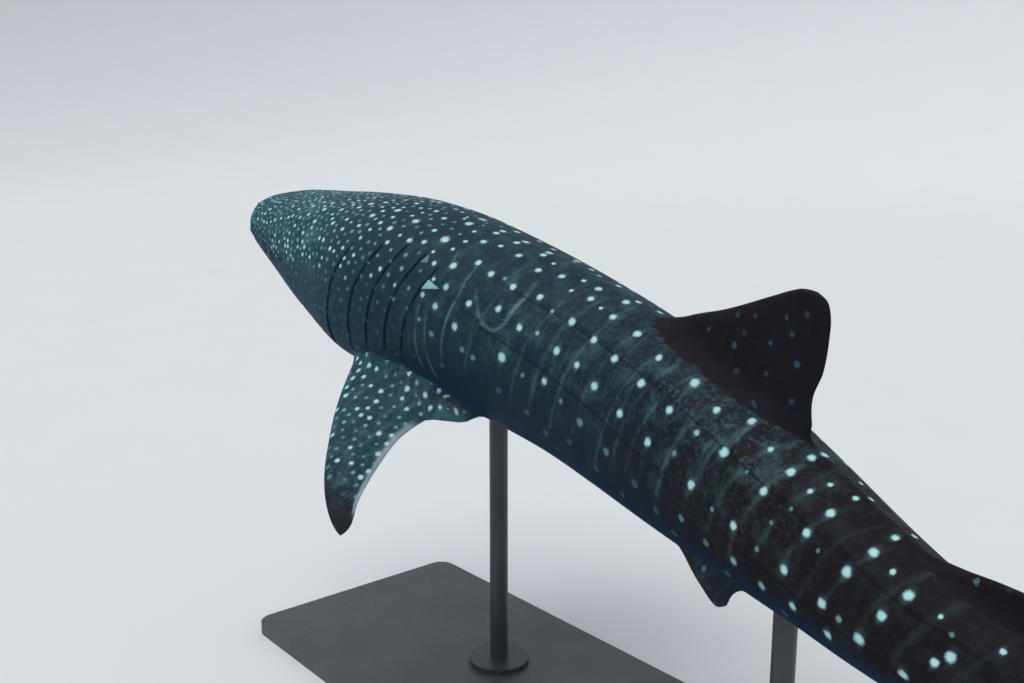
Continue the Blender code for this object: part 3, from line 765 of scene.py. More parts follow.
def loft_object(name, points, rows, count):
    """A closed object through rings of points, which end with the middles of its two ends."""
    data = bpy.data.meshes.new(name)
    data.from_pydata(points.tolist(), [], loft_faces(rows, count))
    mesh = bmesh.new()
    mesh.from_mesh(data)
    bmesh.ops.recalc_face_normals(mesh, faces=mesh.faces)
    mesh.to_mesh(data)
    mesh.free()
    return add_object(name, data)


def grid_object(name, grid):
    """A closed object through a grid of straight places, in metres."""
    middles = np.array([grid[0].mean(axis=0), grid[-1].mean(axis=0)])
    points = np.concatenate([grid.reshape(-1, 3), middles]) * LENGTH
    return loft_object(name, points, *grid.shape[:2])


def half_thickness(root, tip, share, chord):
    tapered = tip + (root - tip) * (1 - share) ** FIN_TAPER
    return min(tapered, THICKEST_SHARE * chord + THINNEST)


def blade_section(chord_start, chord_end, half):
    """Points round a streamlined section: how far back each lies, and how far to one side."""
    angle = (np.arange(FIN_POINTS) + 0.5) * 2 * np.pi / FIN_POINTS
    share = (1 + np.cos(angle)) / 2
    fullness = BLADE_FULLNESS * np.sqrt(share) * (1 - share)
    edge = TRAILING_EDGE / LENGTH * share
    side = np.sign(np.sin(angle)) * (half * fullness + edge)
    return chord_start + (chord_end - chord_start) * share, side, share


def fin_ring(origin, back, out, reach, start, end, half):
    """One cross-section of a fin, which flares and sweeps forward where it meets the body."""
    along, across, share = blade_section(start, end, half)
    middle = origin + along[:, None] * back + reach * out
    near = np.exp(-np.maximum(above_flesh(middle), 0) / ROOT_FLARE_REACH)
    along = along - ROOT_SWEEP * near * (1 - share) ** 2
    across = across * (1 + ROOT_FLARE * near)
    return origin + along[:, None] * back + reach * out + across[:, None] * np.cross(back, out)


def fin_key(name):
    """The name in FINS of a left or right fin, or the name itself."""
    key = name.rsplit("_", 1)[0]
    return key if key in PAIRED_FINS else name


def fin_axes(fin):
    return tuple(np.array(fin[axis], float) for axis in ("origin", "back", "out"))


def fin_grid(fin, mirror):
    """The cross-sections of a fin, from inside the body out to its tip."""
    origin, back, out = fin_axes(fin)
    root_out = fin["lead"][0][0]
    tip_out = fin["lead"][-1][0]
    rings = []
    for share in np.sin(np.linspace(0, np.pi / 2, round(fin["rings"] * RING_FACTOR))):
        reach = root_out + (tip_out - root_out) * share
        start = float(edge_at(fin["lead"], reach))
        end = float(edge_at(fin["trail"], reach))
        half = half_thickness(fin["root"], fin["tip"], share, end - start)
        ring = fin_ring(origin, back, out, reach, start, end, half)
        rings.append(ring * (1, -1, 1) if mirror else ring)
    return np.array(rings)


def tail_grid():
    """Level cross-sections of the tail fin, from the tip of its lower lobe to the tip of its upper one."""
    rings = []
    shares = np.sin(np.linspace(0, np.pi / 2, TAIL_RINGS))
    low, high = TAIL_TIPS
    heights = np.concatenate([low * shares[:0:-1], high * shares])
    for height in heights:
        tip = low if height < 0 else high
        start = float(edge_at(TAIL_LEAD, height))
        end = float(edge_at(TAIL_TRAIL, height))
        half = half_thickness(TAIL_ROOT, TAIL_TIP, height / tip, end - start)
        rings.append(
            fin_ring(np.zeros(3), np.array([1.0, 0, 0]), np.array([0, 0, 1.0]), height, start, end, half)
        )
    return np.array(rings)


def fin_grids():
    """The grid of each fin by name, in the order of the regions of the skin."""
    grids = {}
    for name, fin in FINS.items():
        sides = ("_left", "_right") if name in PAIRED_FINS else ("",)
        for side in sides:
            grids[name + side] = fin_grid(fin, side == "_right")
    grids["caudal"] = tail_grid()
    return grids


def mesh_points(data):
    points = np.empty(len(data.vertices) * 3)
    data.vertices.foreach_get("co", points)
    return points.reshape(-1, 3)


def tree_of(points):
    tree = KDTree(len(points))
    for i, point in enumerate(points.tolist()):
        tree.insert(point, i)
    tree.balance()
    return tree


def nearest(tree, points):
    """The index of the nearest point of a tree, and its distance, for each point."""
    found = [tree.find(point)[1:] for point in points.tolist()]
    index, away = zip(*found)
    return np.array(index), np.array(away)


def eye_centre(side):
    """The middle of an eyeball as a straight place, sunk in the head."""
    across, up = superellipse(np.array([EYE_ANGLE]), table_at(SQUARENESS, EYE_PLACE))
    half_width, back, belly = (smooth_curve(PLACES, row, EYE_PLACE) for row in (HALF_WIDTHS, BACKS, BELLIES))
    depth = (EYE_RADIUS - EYE_PROUD) / LENGTH
    v = side * (half_width * across[0] - depth)
    w = (back + belly) / 2 + (back - belly) / 2 * up[0]
    return np.array([EYE_PLACE, float(v), float(w)])


def sided(angle, side):
    """An angle given for the left side, in degrees, on the left (1) or the right (-1), in radians."""
    return math.radians(angle) if side > 0 else math.pi - math.radians(angle)


def skin_point(u, angle, side):
    """The straight place of one point of the body's surface, its angle being in degrees."""
    return body_points(np.array(u), np.array(sided(angle, side)))


def surface_frame(u, angle, side):
    """A point of the body's surface in metres, with the directions out, back and up along it."""
    def at(du, da):
        return skin_point(u + du, angle + da, side) * LENGTH
    centre = at(0, 0)
    back = unit(at(0.001, 0) - at(-0.001, 0))
    up = at(0, 1) - at(0, -1)
    up = unit(up - up.dot(back) * back)
    out = np.cross(back, up)
    if out[1] * side < 0:
        out = -out
    return centre, out, back, up


def refine(mesh, centre):
    """Halves the faces near a point, and again those nearer still."""
    for reach in REFINED_REACH:
        near = [f for f in mesh.faces if (f.calc_center_median() - Vector(centre)).length < reach]
        edges = list({edge for face in near for edge in face.edges})
        bmesh.ops.subdivide_edges(mesh, edges=edges, cuts=1, use_grid_fill=True)


def local_places(points, frame):
    """Height over, and places back and up along, a surface frame."""
    centre, out, back, up = frame
    offset = points - centre
    return offset @ out, offset @ back, offset @ up


def eye_frame(side):
    """The middle of an eyeball in metres, with the directions out, back and up."""
    centre = eye_centre(side) * LENGTH
    _, out, back, up = surface_frame(EYE_FACING, math.degrees(EYE_ANGLE), side)
    return centre, out, back, up


def push(points, frame, places, move, limits):
    """Moves the points near a frame's middle outwards, and no other surface of the head."""
    height, x, y = places
    near = (np.abs(height) < limits[0]) & (np.hypot(x, y) < limits[1])
    points += (move * near)[:, None] * frame[1]


def shape_eye(points, side):
    """An opening over the eyeball with a soft lid round it, and folds above and behind the lid."""
    frame = eye_frame(side)
    height, x, y = local_places(points, frame)
    turn = np.arctan2(y, x)
    uneven = 1 + 0.035 * np.sin(2 * turn + 0.7) + 0.025 * np.sin(3 * turn - 0.4) + 0.012 * np.sin(7 * turn)
    radius = np.hypot(x * 0.93, y * 1.10) * uneven
    above = 0.35 + 0.65 * ramp(np.cos(turn - 0.9), -0.7, 0.7)
    below = 0.25 + 0.75 * ramp(np.cos(turn + 2.0), -0.4, 0.8)
    strengths = {"round": 0.8 + 0.2 * above, "above": above, "far above": above * above, "below": below}
    raised = 0.0
    for rise, distance, width, part in EYE_FOLDS:
        raised = raised + rise * bulge(radius, distance, width) * strengths[part]
    sunk = 1 - ramp(radius, *EYE_OPENING)
    target = (height + raised) * (1 - sunk) + EYE_OPENING_LEVEL * sunk
    push(points, frame, (height, x, y), target - height, EYE_LIMITS)


def shape_spiracle(points, side):
    """An oval pit with a soft rim, behind the eye."""
    frame = surface_frame(*SPIRACLE_PLACE, side)
    height, x, y = local_places(points, frame)
    long, short = SPIRACLE_SIZE
    radius = np.hypot(x / long, (y - 0.12 * x) / short)
    move = -SPIRACLE_DEPTH * (1 - ramp(radius, 0.35, 1.05))
    move += (0.0016 + 0.0012 * ramp(-x, -0.01, 0.012)) * bulge(radius, 1.45, 0.36)
    push(points, frame, (height, x, y), move, OPENING_LIMITS)


def shape_nostril(points, side):
    """A slit of a nostril over the lip, with a short barbel at its inner end."""
    frame = surface_frame(*NOSTRIL_PLACE, side)
    height, x, y = local_places(points, frame)
    long, short = NOSTRIL_SIZE
    curved = x - 9.0 * y * y
    radius = np.hypot(y / long, curved / short)
    move = -NOSTRIL_DEPTH * (1 - ramp(radius, 0.3, 1.1))
    move += 0.0022 * bulge(radius, 1.7, 0.45)
    barbel = np.hypot(x + 0.002, y - 0.024)
    move += BARBEL_LENGTH * (1 - ramp(barbel, 0.001, 0.0125))
    push(points, frame, (height, x, y), move, OPENING_LIMITS)


def detailed_body(grid):
    """The skin of the body as an object, made finer and shaped round the eyes, spiracles and nostrils."""
    item = grid_object("skin_body", grid["points"])
    mesh = bmesh.new()
    mesh.from_mesh(item.data)
    for side in (1, -1):
        refine(mesh, eye_frame(side)[0])
        for place in (SPIRACLE_PLACE, NOSTRIL_PLACE):
            refine(mesh, surface_frame(*place, side)[0])
    mesh.to_mesh(item.data)
    mesh.free()
    points = mesh_points(item.data)
    for side in (1, -1):
        for shape in (shape_eye, shape_spiracle, shape_nostril):
            shape(points, side)
    item.data.vertices.foreach_set("co", points.ravel())
    item.data.update()
    return item


def united(body, fins):
    """The triangles of the body and all fins joined into one surface."""
    for fin in fins:
        join = body.modifiers.new(fin.name, "BOOLEAN")
        join.operation = "UNION"
        join.solver = "MANIFOLD"
        join.object = fin
    depsgraph = bpy.context.evaluated_depsgraph_get()
    data = bpy.data.meshes.new_from_object(body.evaluated_get(depsgraph))
    data.calc_loop_triangles()
    triangles = np.empty(len(data.loop_triangles) * 3, np.int64)
    data.loop_triangles.foreach_get("vertices", triangles)
    points = mesh_points(data)
    bpy.data.meshes.remove(data)
    return points, triangles.reshape(-1, 3)


def discard(items):
    for item in items:
        data = item.data
        bpy.data.objects.remove(item, do_unlink=True)
        bpy.data.meshes.remove(data)


def soften(points, triangles, seam):
    """Draws the skin smooth near the seam points, so that fins grow out of the body in fillets."""
    _, away = nearest(tree_of(points[seam]), points)
    weight = 0.5 * (1 - ramp(away, SEAM_REACH * 0.35, SEAM_REACH))
    edges = np.concatenate([triangles[:, [0, 1]], triangles[:, [1, 2]], triangles[:, [2, 0]]])
    edges = np.unique(np.sort(edges, axis=1), axis=0)
    active = weight[edges].max(axis=1) > 0
    edges = edges[active]
    both = np.concatenate([edges, edges[:, ::-1]])
    count = np.maximum(np.bincount(both[:, 0], minlength=len(points)), 1)[:, None]
    moving = (weight > 0)[:, None]
    for _ in range(SEAM_ROUNDS):
        total = np.stack(
            [np.bincount(both[:, 0], points[both[:, 1], k], minlength=len(points)) for k in range(3)], axis=-1
        )
        points = np.where(moving, points + weight[:, None] * (total / count - points), points)
    return points


def triangle_normals(points, triangles):
    a, b, c = (points[triangles[:, k]] for k in range(3))
    return unit(np.cross(b - a, c - a))


def face_regions(corners):
    """The region of each triangle, from those of its corners: the body's when two of them are."""
    low = corners.min(axis=1)
    return np.where((corners == 0).sum(axis=1) >= 2, 0, np.where(low == 0, corners.max(axis=1), low))


def build_skin():
    """The whole skin in straight metres: points, triangles and what each point belongs to."""
    grid = body_grid()
    body = detailed_body(grid)
    grids = fin_grids()
    fins = [grid_object("skin_" + name, points) for name, points in grids.items()]
    sources = [mesh_points(item.data) for item in [body] + fins]
    plain = grid["points"].reshape(-1, 3) * LENGTH
    index, _ = nearest(tree_of(plain), sources[0])
    region = np.concatenate([np.full(len(points), i) for i, points in enumerate(sources)])
    values = {"u": np.concatenate([points[:, 0] / LENGTH for points in sources])}
    values["u"][:len(index)] = grid["u"].ravel()[index]
    for key in ("angle", "inside"):
        values[key] = np.zeros(len(region))
        values[key][:len(index)] = grid[key].ravel()[index]
    points, triangles = united(body, fins)
    discard([body] + fins)
    found, away = nearest(tree_of(np.concatenate(sources)), points)
    seam = away > NEW_POINT
    straight = points.copy()
    points = soften(points, triangles, seam)
    skin = {name: column[found] for name, column in values.items()}
    skin.update(points=points, straight=straight, seam=seam, triangles=triangles)
    skin.update(names=["body"] + list(grids), region=region[found])
    skin["face_region"] = face_regions(skin["region"][triangles])
    return skin


def random_source(offset=0):
    return np.random.default_rng(SEED + offset)


def spread(source, candidates, spacing, taken):
    """Picks random candidates that keep their spacing from each other and from the taken ones."""
    points = [point for point, _ in taken]
    gaps = [gap for _, gap in taken]
    chosen = []
    for i in source.permutation(len(candidates)):
        if points:
            away = np.linalg.norm(np.array(points) - candidates[i], axis=1)
            if (away < np.maximum(gaps, spacing[i])).any():
                continue
        points.append(candidates[i])
        gaps.append(spacing[i])
        chosen.append(i)
    return chosen


def spot_fade(u, angle):
    """How bright a spot of the body is: those low on the flank fade away, partly in their own colour and
    partly as painted shade.
    """
    away = angle - table_at(SPOTS_FADE, u)
    return SPOTS_FADED + (1 - SPOTS_FADED) * ramp(away, -SPOTS_FADE_LENGTH / 2, SPOTS_FADE_LENGTH / 2)


def row_spots(source, side):
    """The spots that stand in rows along the trunk and the tail stalk, as (u, angle, radius, strength)."""
    spots = []
    for row in SPOT_ROWS + (HEAD_LARGE,):
        for spot in row:
            u, angle, size, strength = spot + (1.0, 1.0)[len(spot) - 2:]
            if side < 0:
                du, da = source.normal(0, MATCHED_JITTER)
                u = u + du
                angle = angle + da
                size = size * source.uniform(0.85, 1.15)
            strength = strength * source.uniform(0.85, 1.0)
            spots.append((u, min(angle, 88), SPOT_RADIUS * size, strength))
    return spots


def filled_spots(source, side, taken, start, end, spacing_table, radius_table):
    """Small spots filled in between the others over a stretch of the body, as row_spots gives them."""
    count = SPOT_TRIES
    u = source.uniform(start, end, count)
    angle = source.uniform(*SMALL_SPOT_ANGLES, count)
    spacing = table_at(spacing_table, u)
    larger = [(skin_point(a, b, side), c * SPOT_CLEARANCE) for a, b, c, _ in taken]
    places = body_points(u, np.array([sided(value, side) for value in angle]))
    chosen = spread(source, places, spacing, larger)
    bright = source.random(count) < HEAD_SPOTS_BRIGHT
    size, strength = (
        np.where(bright, source.uniform(*high, count), source.uniform(*low, count))
        for high, low in zip(BRIGHT_SPOTS, DIM_SPOTS)
    )
    radius = table_at(radius_table, u) * size
    return [(u[i], angle[i], radius[i], strength[i]) for i in chosen]


def body_marks(seam):
    """All spots of the body: centre in metres, radius in metres, strength. None lies on a fin's seam."""
    marks = []
    for side in (1, -1):
        source = random_source(side)
        rows = row_spots(source, side)
        head = (0.001, HEAD_SPOTS_END, HEAD_SPOT_SPACING, HEAD_SPOT_RADII)
        tail = (*TAIL_SPOTS, ((0, TAIL_SPOT_SPACING),), ((0, SPOT_RADIUS * SMALL_TAIL_SPOT),))
        small = [filled_spots(source, side, rows, *stretch) for stretch in (head, tail)]
        for u, angle, radius, strength in rows + small[0] + small[1]:
            centre = skin_point(u, angle, side) * LENGTH
            if seam.find(centre)[2] > radius * LENGTH * SEAM_CLEARANCE:
                marks.append((centre, radius * LENGTH, strength * float(spot_fade(u, angle))))
    return marks


def fin_marks(name, mirror, source):
    """Spots of one fin, at the places of its middle plane: centre, radius, strength."""
    fin = FINS[name]
    spacing, radius, strength, fade = FIN_SPOTS[name]
    origin, back, out = fin_axes(fin)
    root = fin["lead"][0][0]
    tip = fin["lead"][-1][0]
    count = FIN_SPOT_TRIES
    reach = source.uniform(root, tip, count)
    start = edge_at(fin["lead"], reach)
    end = edge_at(fin["trail"], reach)
    chord = source.uniform(0.03, 0.95, count)
    places = np.stack([reach, start + (end - start) * chord, 0 * reach], axis=-1)
    chosen = spread(source, places, np.full(count, spacing), [])
    marks = []
    for i in chosen:
        point = origin + places[i, 1] * back + places[i, 0] * out
        if above_flesh(point) < radius * 1.3:
            continue
        if mirror:
            point = point * (1, -1, 1)
        share = (reach[i] - root) / (tip - root)
        bright = source.random() < FIN_SPOTS_BRIGHT
        level = source.uniform(0.8, 1.0) if bright else source.uniform(0.32, 0.6)
        level = level * strength * (1 - ramp(share, fade - 0.18, fade + 0.05))
        size = radius * source.uniform(0.9, 1.25) if bright else radius * source.uniform(0.65, 0.95)
        marks.append((point * LENGTH, size * LENGTH, float(level)))
    return marks


def dorsal_marks(source):
    """The faint spots of the first dorsal fin."""
    marks = []
    for out, back in DORSAL_SPOTS:
        size = SPOT_RADIUS * source.uniform(*DORSAL_SPOT_SIZES) * LENGTH
        strength = source.uniform(*DORSAL_SPOT_STRENGTHS)
        marks.append((np.array([back, 0, out]) * LENGTH, size, strength))
    return marks


def tail_marks(source):
    """Spots of the tail fin, in faint rows along its lobes."""
    spacing, radius, strength, _ = FIN_SPOTS["caudal"]
    count = TAIL_SPOT_TRIES
    height = source.uniform(*TAIL_TIPS, count)
    start = edge_at(TAIL_LEAD, height)
    end = edge_at(TAIL_TRAIL, height)
    back = start + (end - start) * source.uniform(0.06, 0.9, count)
    places = np.stack([back, 0 * back, height], axis=-1)
    chosen = spread(source, places, np.full(count, spacing), [])
    return [
        (places[i] * LENGTH, radius * source.uniform(0.6, 1.2) * LENGTH, strength * source.uniform(0.6, 1.1))
        for i in chosen
    ]


def smooth_path(places, step):
    """A path of (u, angle) places resampled closely along a smooth curve."""
    places = np.array(places, float)
    t = np.arange(len(places))
    length = np.hypot(np.diff(places[:, 0]), np.radians(np.diff(places[:, 1])) * 0.06).sum()
    at = np.linspace(0, len(places) - 1, max(int(length / step), 8))
    return np.stack([smooth_curve(t, places[:, k], at) for k in range(2)], axis=-1), at


def stroke_samples():
    """Close samples along every pale stroke: centre, direction, half width and strength."""
    centres, directions, widths, strengths = [], [], [], []

    def add(places, side, width, strength):
        path, at = smooth_path(places, STROKE_STEP)
        points = body_points(path[:, 0], np.array([sided(a, side) for a in path[:, 1]])) * LENGTH
        share = at / at[-1]
        centres.append(points)
        directions.append(unit(np.gradient(points, axis=0)))
        widths.append(np.full(len(at), width * LENGTH))
        strengths.append(strength * ramp(share, 0.0, 0.12) * (1 - ramp(share, 0.88, 1.0)))

    for side in (1, -1):
        source = random_source(20 + side)
        for width, strength, places in STROKES:
            moved = [(u + (side < 0) * source.normal(0, 0.0015), a) for u, a in places]
            add(moved, side, width, strength)
        for place in BARS:
            place = place + (side < 0) * source.normal(0, 0.002)
            top, bottom = BAR_ANGLES
            angles = np.linspace(top - source.uniform(0, 6), bottom + source.uniform(0, 22), BAR_STEPS)
            sway = np.cumsum(source.normal(0, BAR_SWAY, BAR_STEPS))
            sway -= np.linspace(sway[0], sway[-1], BAR_STEPS)
            width = BAR_WIDTH * source.uniform(0.7, 1.35)
            strength = source.uniform(*BAR_STRENGTHS) * table_at(BAR_FADE, place)
            add(list(zip(place + BAR_LEAN * angles + sway, angles)), side, width, strength)
    return tuple(np.concatenate(part) for part in (centres, directions, widths, strengths))


def fin_side_axis(name):
    """The axis across the plane of a fin."""
    key = fin_key(name)
    if key not in FINS:
        return np.array([0, 1.0, 0])
    _, back, out = fin_axes(FINS[key])
    axis = np.cross(back, out)
    return axis * (1, -1, 1) if name.endswith("_right") else axis


def all_marks(skin):
    """The spots of each region of the skin: centre, radius and strength."""
    source = random_source(5)
    marks = [body_marks(tree_of(skin["straight"][skin["seam"]]))]
    for name in skin["names"][1:]:
        if name == "dorsal_first":
            marks.append(dorsal_marks(source))
        elif name == "caudal":
            marks.append(tail_marks(source))
        else:
            marks.append(fin_marks(fin_key(name), name.endswith("_right"), source))
    return marks


def mark_skin(skin):
    """For each corner of the skin, where it lies in the nearest spot, and how strong that spot is."""
    corners = skin["straight"][skin["triangles"]]
    spot = np.full(corners.shape, FAR)
    strength = np.zeros(len(corners))
    for i, group in enumerate(all_marks(skin)):
        faces = np.nonzero(skin["face_region"] == i)[0]
        centres, radii, bright = (np.array(column) for column in zip(*group))
        axis = fin_side_axis(skin["names"][i]) if i else np.zeros(3)
        middles = corners[faces].mean(axis=1)
        middles = middles - (middles @ axis)[:, None] * axis
        centres = centres - (centres @ axis)[:, None] * axis
        tree = tree_of(centres)
        best = np.empty(len(faces), np.int64)
        for row, point in enumerate(middles.tolist()):
            best[row] = min(tree.find_n(point, 4), key=lambda item: item[2] / radii[item[1]])[1]
        offset = corners[faces] - centres[best][:, None, :]
        offset = offset - (offset @ axis)[..., None] * axis
        spot[faces] = offset / radii[best][:, None, None]
        strength[faces] = bright[best]
    return np.clip(spot, -FAR, FAR), np.repeat(strength[:, None], 3, axis=1)


def stroke_skin(skin):
    """For each corner of the skin, how far it lies across the nearest pale stroke, and how strong that is."""
    points, triangles = skin["straight"], skin["triangles"]
    corners = points[triangles]
    centres, directions, widths, strengths = stroke_samples()
    faces = np.nonzero(skin["face_region"] == 0)[0]
    normal = triangle_normals(points, triangles)[faces]
    index, _ = nearest(tree_of(centres), corners[faces].mean(axis=1))
    across = unit(np.cross(normal, directions[index]))
    offset = corners[faces] - centres[index][:, None, :]
    side = (offset * across[:, None, :]).sum(axis=-1) / widths[index][:, None]
    past = np.abs((offset * directions[index][:, None, :]).sum(axis=-1))
    fade = 1 - ramp(past, *STROKE_ENDS)
    stroke = np.full(triangles.shape, FAR)
    strength = np.zeros(triangles.shape)
    stroke[faces] = np.clip(side, -FAR, FAR)
    strength[faces] = strengths[index][:, None] * fade
    return stroke, strength


def scar_skin(skin):
    """For each corner of the skin, how far it lies inside the three sides of the nearest scar, in metres."""
    corners = skin["straight"][skin["triangles"]]
    inside = np.full(corners.shape, -FAR)
    strength = np.zeros(len(corners))
    for *places, level in SCARS:
        ends = np.array([skin_point(u, angle, 1) for u, angle in places]) * LENGTH
        centre = ends.mean(axis=0)
        reach = 1.15 * np.linalg.norm(ends - centre, axis=1).max()
        near = np.nonzero(np.linalg.norm(corners.mean(axis=1) - centre, axis=1) < reach)[0]
        normal = unit(np.cross(ends[1] - ends[0], ends[2] - ends[0]))
        for k in range(3):
            inward = unit(np.cross(normal, ends[(k + 1) % 3] - ends[k]))
            inside[near, :, k] = (corners[near] - ends[k]) @ inward
        strength[near] = level
    return inside, np.repeat(strength[:, None], 3, axis=1)


def crease_line(skin):
    """How far each point lies from the line of painted shade in the crease under the nearest ridge, in half
    widths of the line.
    """
    u = skin["u"]
    half_width, back, belly = section(np.clip(u, 0, FLESH_END))
    size = (half_width + (back - belly) / 2) / 2
    nearest_line = np.full(len(u), FAR)
    for ridge in RIDGES.values():
        away = (girth_of(skin["angle"]) - ridge_centre(ridge, u) + RIDGE_GROOVE_BELOW) * size / CREASE_LINE
        away = away + np.where(away < 0, -FAR, FAR) * (1 - ridge_strength(ridge, u))
        nearest_line = np.where(np.abs(away) < np.abs(nearest_line), away, nearest_line)
    return np.where(skin["region"] == 0, nearest_line, FAR)


def body_shades(u, girth):
    """The shades of skin_shades for the body, at places u and girth angles in degrees."""
    edge = table_at(PALE_EDGE, u)
    cheek = (1 - ramp(u, 0.10, 0.19)) * ramp(girth, -12, 12) * (1 - 0.5 * ramp(girth, 45, 75))
    trunk = ramp(u, 0.16, 0.30) * (1 - ramp(u, 0.52, 0.62)) * ramp(girth, -20, 25)
    patch = ramp(u, 0.44, 0.47) * (1 - ramp(u, 0.53, 0.57))
    patch = patch * ramp(girth, 25, 45) * (1 - ramp(girth, 62, 75))
    return {
        "tone": table_at(TONES_ALONG, u),
        "pale": ramp(-girth, -edge - 8, -edge + 20),
        # Painted shade: the low flank darkens to blue above the pale belly
        "blue": ramp(-girth, -edge - 52, -edge + 2),
        "dark": np.zeros(len(u)),
        "mottle": np.clip(0.95 * cheek + 0.42 * trunk + 0.5 * patch + 0.10, 0, 1),
    }


def paired_fin_shades(name, points):
    """How pale and how dark a pectoral or pelvic fin is at its points, and its tone; the dark inner trailing
    part of a pectoral near the body is painted shade.
    """
    fin = FINS[fin_key(name)]
    origin, back, out = fin_axes(fin)
    local = points * ((1, -1, 1) if name.endswith("_right") else (1, 1, 1)) - origin
    reach = local @ out
    start = edge_at(fin["lead"], reach)
    end = edge_at(fin["trail"], reach)
    share = np.clip((local @ back - start) / np.maximum(end - start, 1e-4), 0, 1)
    under = np.sign(local @ np.cross(back, out)) < 0
    pale = np.where(under, 0.85 * (1 - ramp(reach / fin["lead"][-1][0], 0.7, 1.0)), 0.0)
    if fin_key(name) != "pectoral":
        return pale, 0.0, FIN_TONES["pelvic"]
    margin = ramp(share, 0.86, 0.97) * ramp(reach, 0.018, 0.035) * (1 - ramp(reach, 0.105, 0.122))
    # Painted shade: the trailing part of the pectoral's upper side near the body is darkened
    inner = ramp(share, 0.55, 0.8) * (1 - ramp(reach, -0.004, 0.016))
    dark = np.maximum(0.85 * ramp(reach, 0.088, 0.118), 0.75 * inner) * ~under
    return np.maximum(pale, 0.55 * margin * ~under), dark, 0.25 + 0.5 * ramp(reach, 0.07, 0.12)


def skin_shades(skin):
    """For each point: how far to the hind tone, how pale, how far into the painted blue shade of the low
    flank, how dark, with painted shade on the pectorals' inner trailing parts, and how mottled it is.
    """
    shades = body_shades(skin["u"], np.degrees(girth_of(skin["angle"])))
    points = skin["straight"] / LENGTH
    for i, name in enumerate(skin["names"][1:], start=1):
        mine = skin["region"] == i
        pale, dark, tone = 0.0, 0.0, FIN_TONES.get(name, 1.0)
        if name.startswith(PAIRED_FINS):
            pale, dark, tone = paired_fin_shades(name, points[mine])
        shades["pale"][mine] = pale
        shades["dark"][mine] = dark
        shades["tone"][mine] = tone
        shades["blue"][mine] = 0.0
        shades["mottle"][mine] = FIN_MOTTLE.get(fin_key(name), OTHER_FIN_MOTTLE)
    return shades


def body_map(skin, maps):
    """Lays the body flat as a strip cut along the belly, and the inside of the mouth beside it."""
    triangles = skin["triangles"]
    along = skin["straight"][triangles][..., 0]
    body = skin["face_region"] == 0
    angle = (skin["angle"][triangles] + np.pi / 2) % (2 * np.pi)
    wide = angle.max(axis=1) - angle.min(axis=1) > np.pi
    angle = np.where(wide[:, None] & (angle < np.pi), angle + 2 * np.pi, angle)
    left, low, high = MAP_BODY
    maps[body, :, 0] = left + along[body] * MAP_SCALE
    maps[body, :, 1] = low + angle[body] / (2 * np.pi) * high
    mouth = body & (skin["inside"][triangles].max(axis=1) >= 1) & (along.max(axis=1) < 0.35)
    maps[mouth, :, 0] = MAP_MOUTH + along[mouth] * MAP_SCALE


def region_maps(skin):
    """The unwrap of the skin: the body as a strip, and each side of each fin laid flat."""
    triangles = skin["triangles"]
    points = skin["straight"][triangles]
    maps = np.zeros(triangles.shape + (2,))
    body_map(skin, maps)
    normal = triangle_normals(skin["points"], triangles)
    across = np.array([1.0, 0, 0])
    left_edge, low_edge, row_height = MAP_GAP, MAP_GAP, 0.0
    for i, name in enumerate(skin["names"][1:], start=1):
        axis = fin_side_axis(name)
        upward = unit(np.cross(axis, across))
        for sign in (1, -1):
            mine = (skin["face_region"] == i) & (np.sign(normal @ axis + 1e-9) == sign)
            flat = np.stack([points[mine] @ across, points[mine] @ upward], axis=-1) * MAP_SCALE
            low = flat.reshape(-1, 2).min(axis=0)
            size = flat.reshape(-1, 2).max(axis=0) - low
            if left_edge + size[0] > 1 - MAP_GAP:
                left_edge = MAP_GAP
                low_edge += row_height + MAP_GAP
                row_height = 0.0
            maps[mine] = flat - low + (left_edge, low_edge)
            left_edge += size[0] + MAP_GAP
            row_height = max(row_height, size[1])
    return maps


def add_attribute(data, name, domain, values, kind="FLOAT"):
    attribute = data.attributes.new(name, kind, domain)
    field = "vector" if kind == "FLOAT_VECTOR" else "value"
    attribute.data.foreach_set(field, np.ascontiguousarray(values, np.float32).ravel())


def dress(item, slot, material, *nodes):
    """Gives an object its material and lets it stand for some nodes of the frame, which are hidden; slot is
    not used.
    """
    item.data.shade_smooth()
    item.data.materials.append(material)
    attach(item, "root")
    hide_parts(*nodes)


def make_skin(material):
    """The skin as one object with its markings, bent and posed."""
    skin = build_skin()
    data = bpy.data.meshes.new("skin")
    world = to_world(skin["points"] / LENGTH)
    data.from_pydata(world.tolist(), [], skin["triangles"].tolist())
    for name, marked in (("spot", mark_skin(skin)), ("stroke", stroke_skin(skin)), ("scar", scar_skin(skin))):
        values, strength = marked
        add_attribute(data, name, "CORNER", values, "FLOAT" if name == "stroke" else "FLOAT_VECTOR")
        add_attribute(data, name + "_strength", "CORNER", strength)
    add_attribute(data, "straight", "POINT", skin["straight"], "FLOAT_VECTOR")
    # crease places the line of painted shade under each ridge; inside places the painted shade of the mouth
    # and gill slits
    shades = {"crease": crease_line(skin), "inside": skin["inside"], **skin_shades(skin)}
    for name, values in shades.items():
        add_attribute(data, name, "POINT", values)
    layer = data.uv_layers.new(name="OFBake")
    layer.data.foreach_set("uv", region_maps(skin).astype(np.float32).ravel())
    dress(add_object("skin", data), "skin", material, *FLESH_NODES)


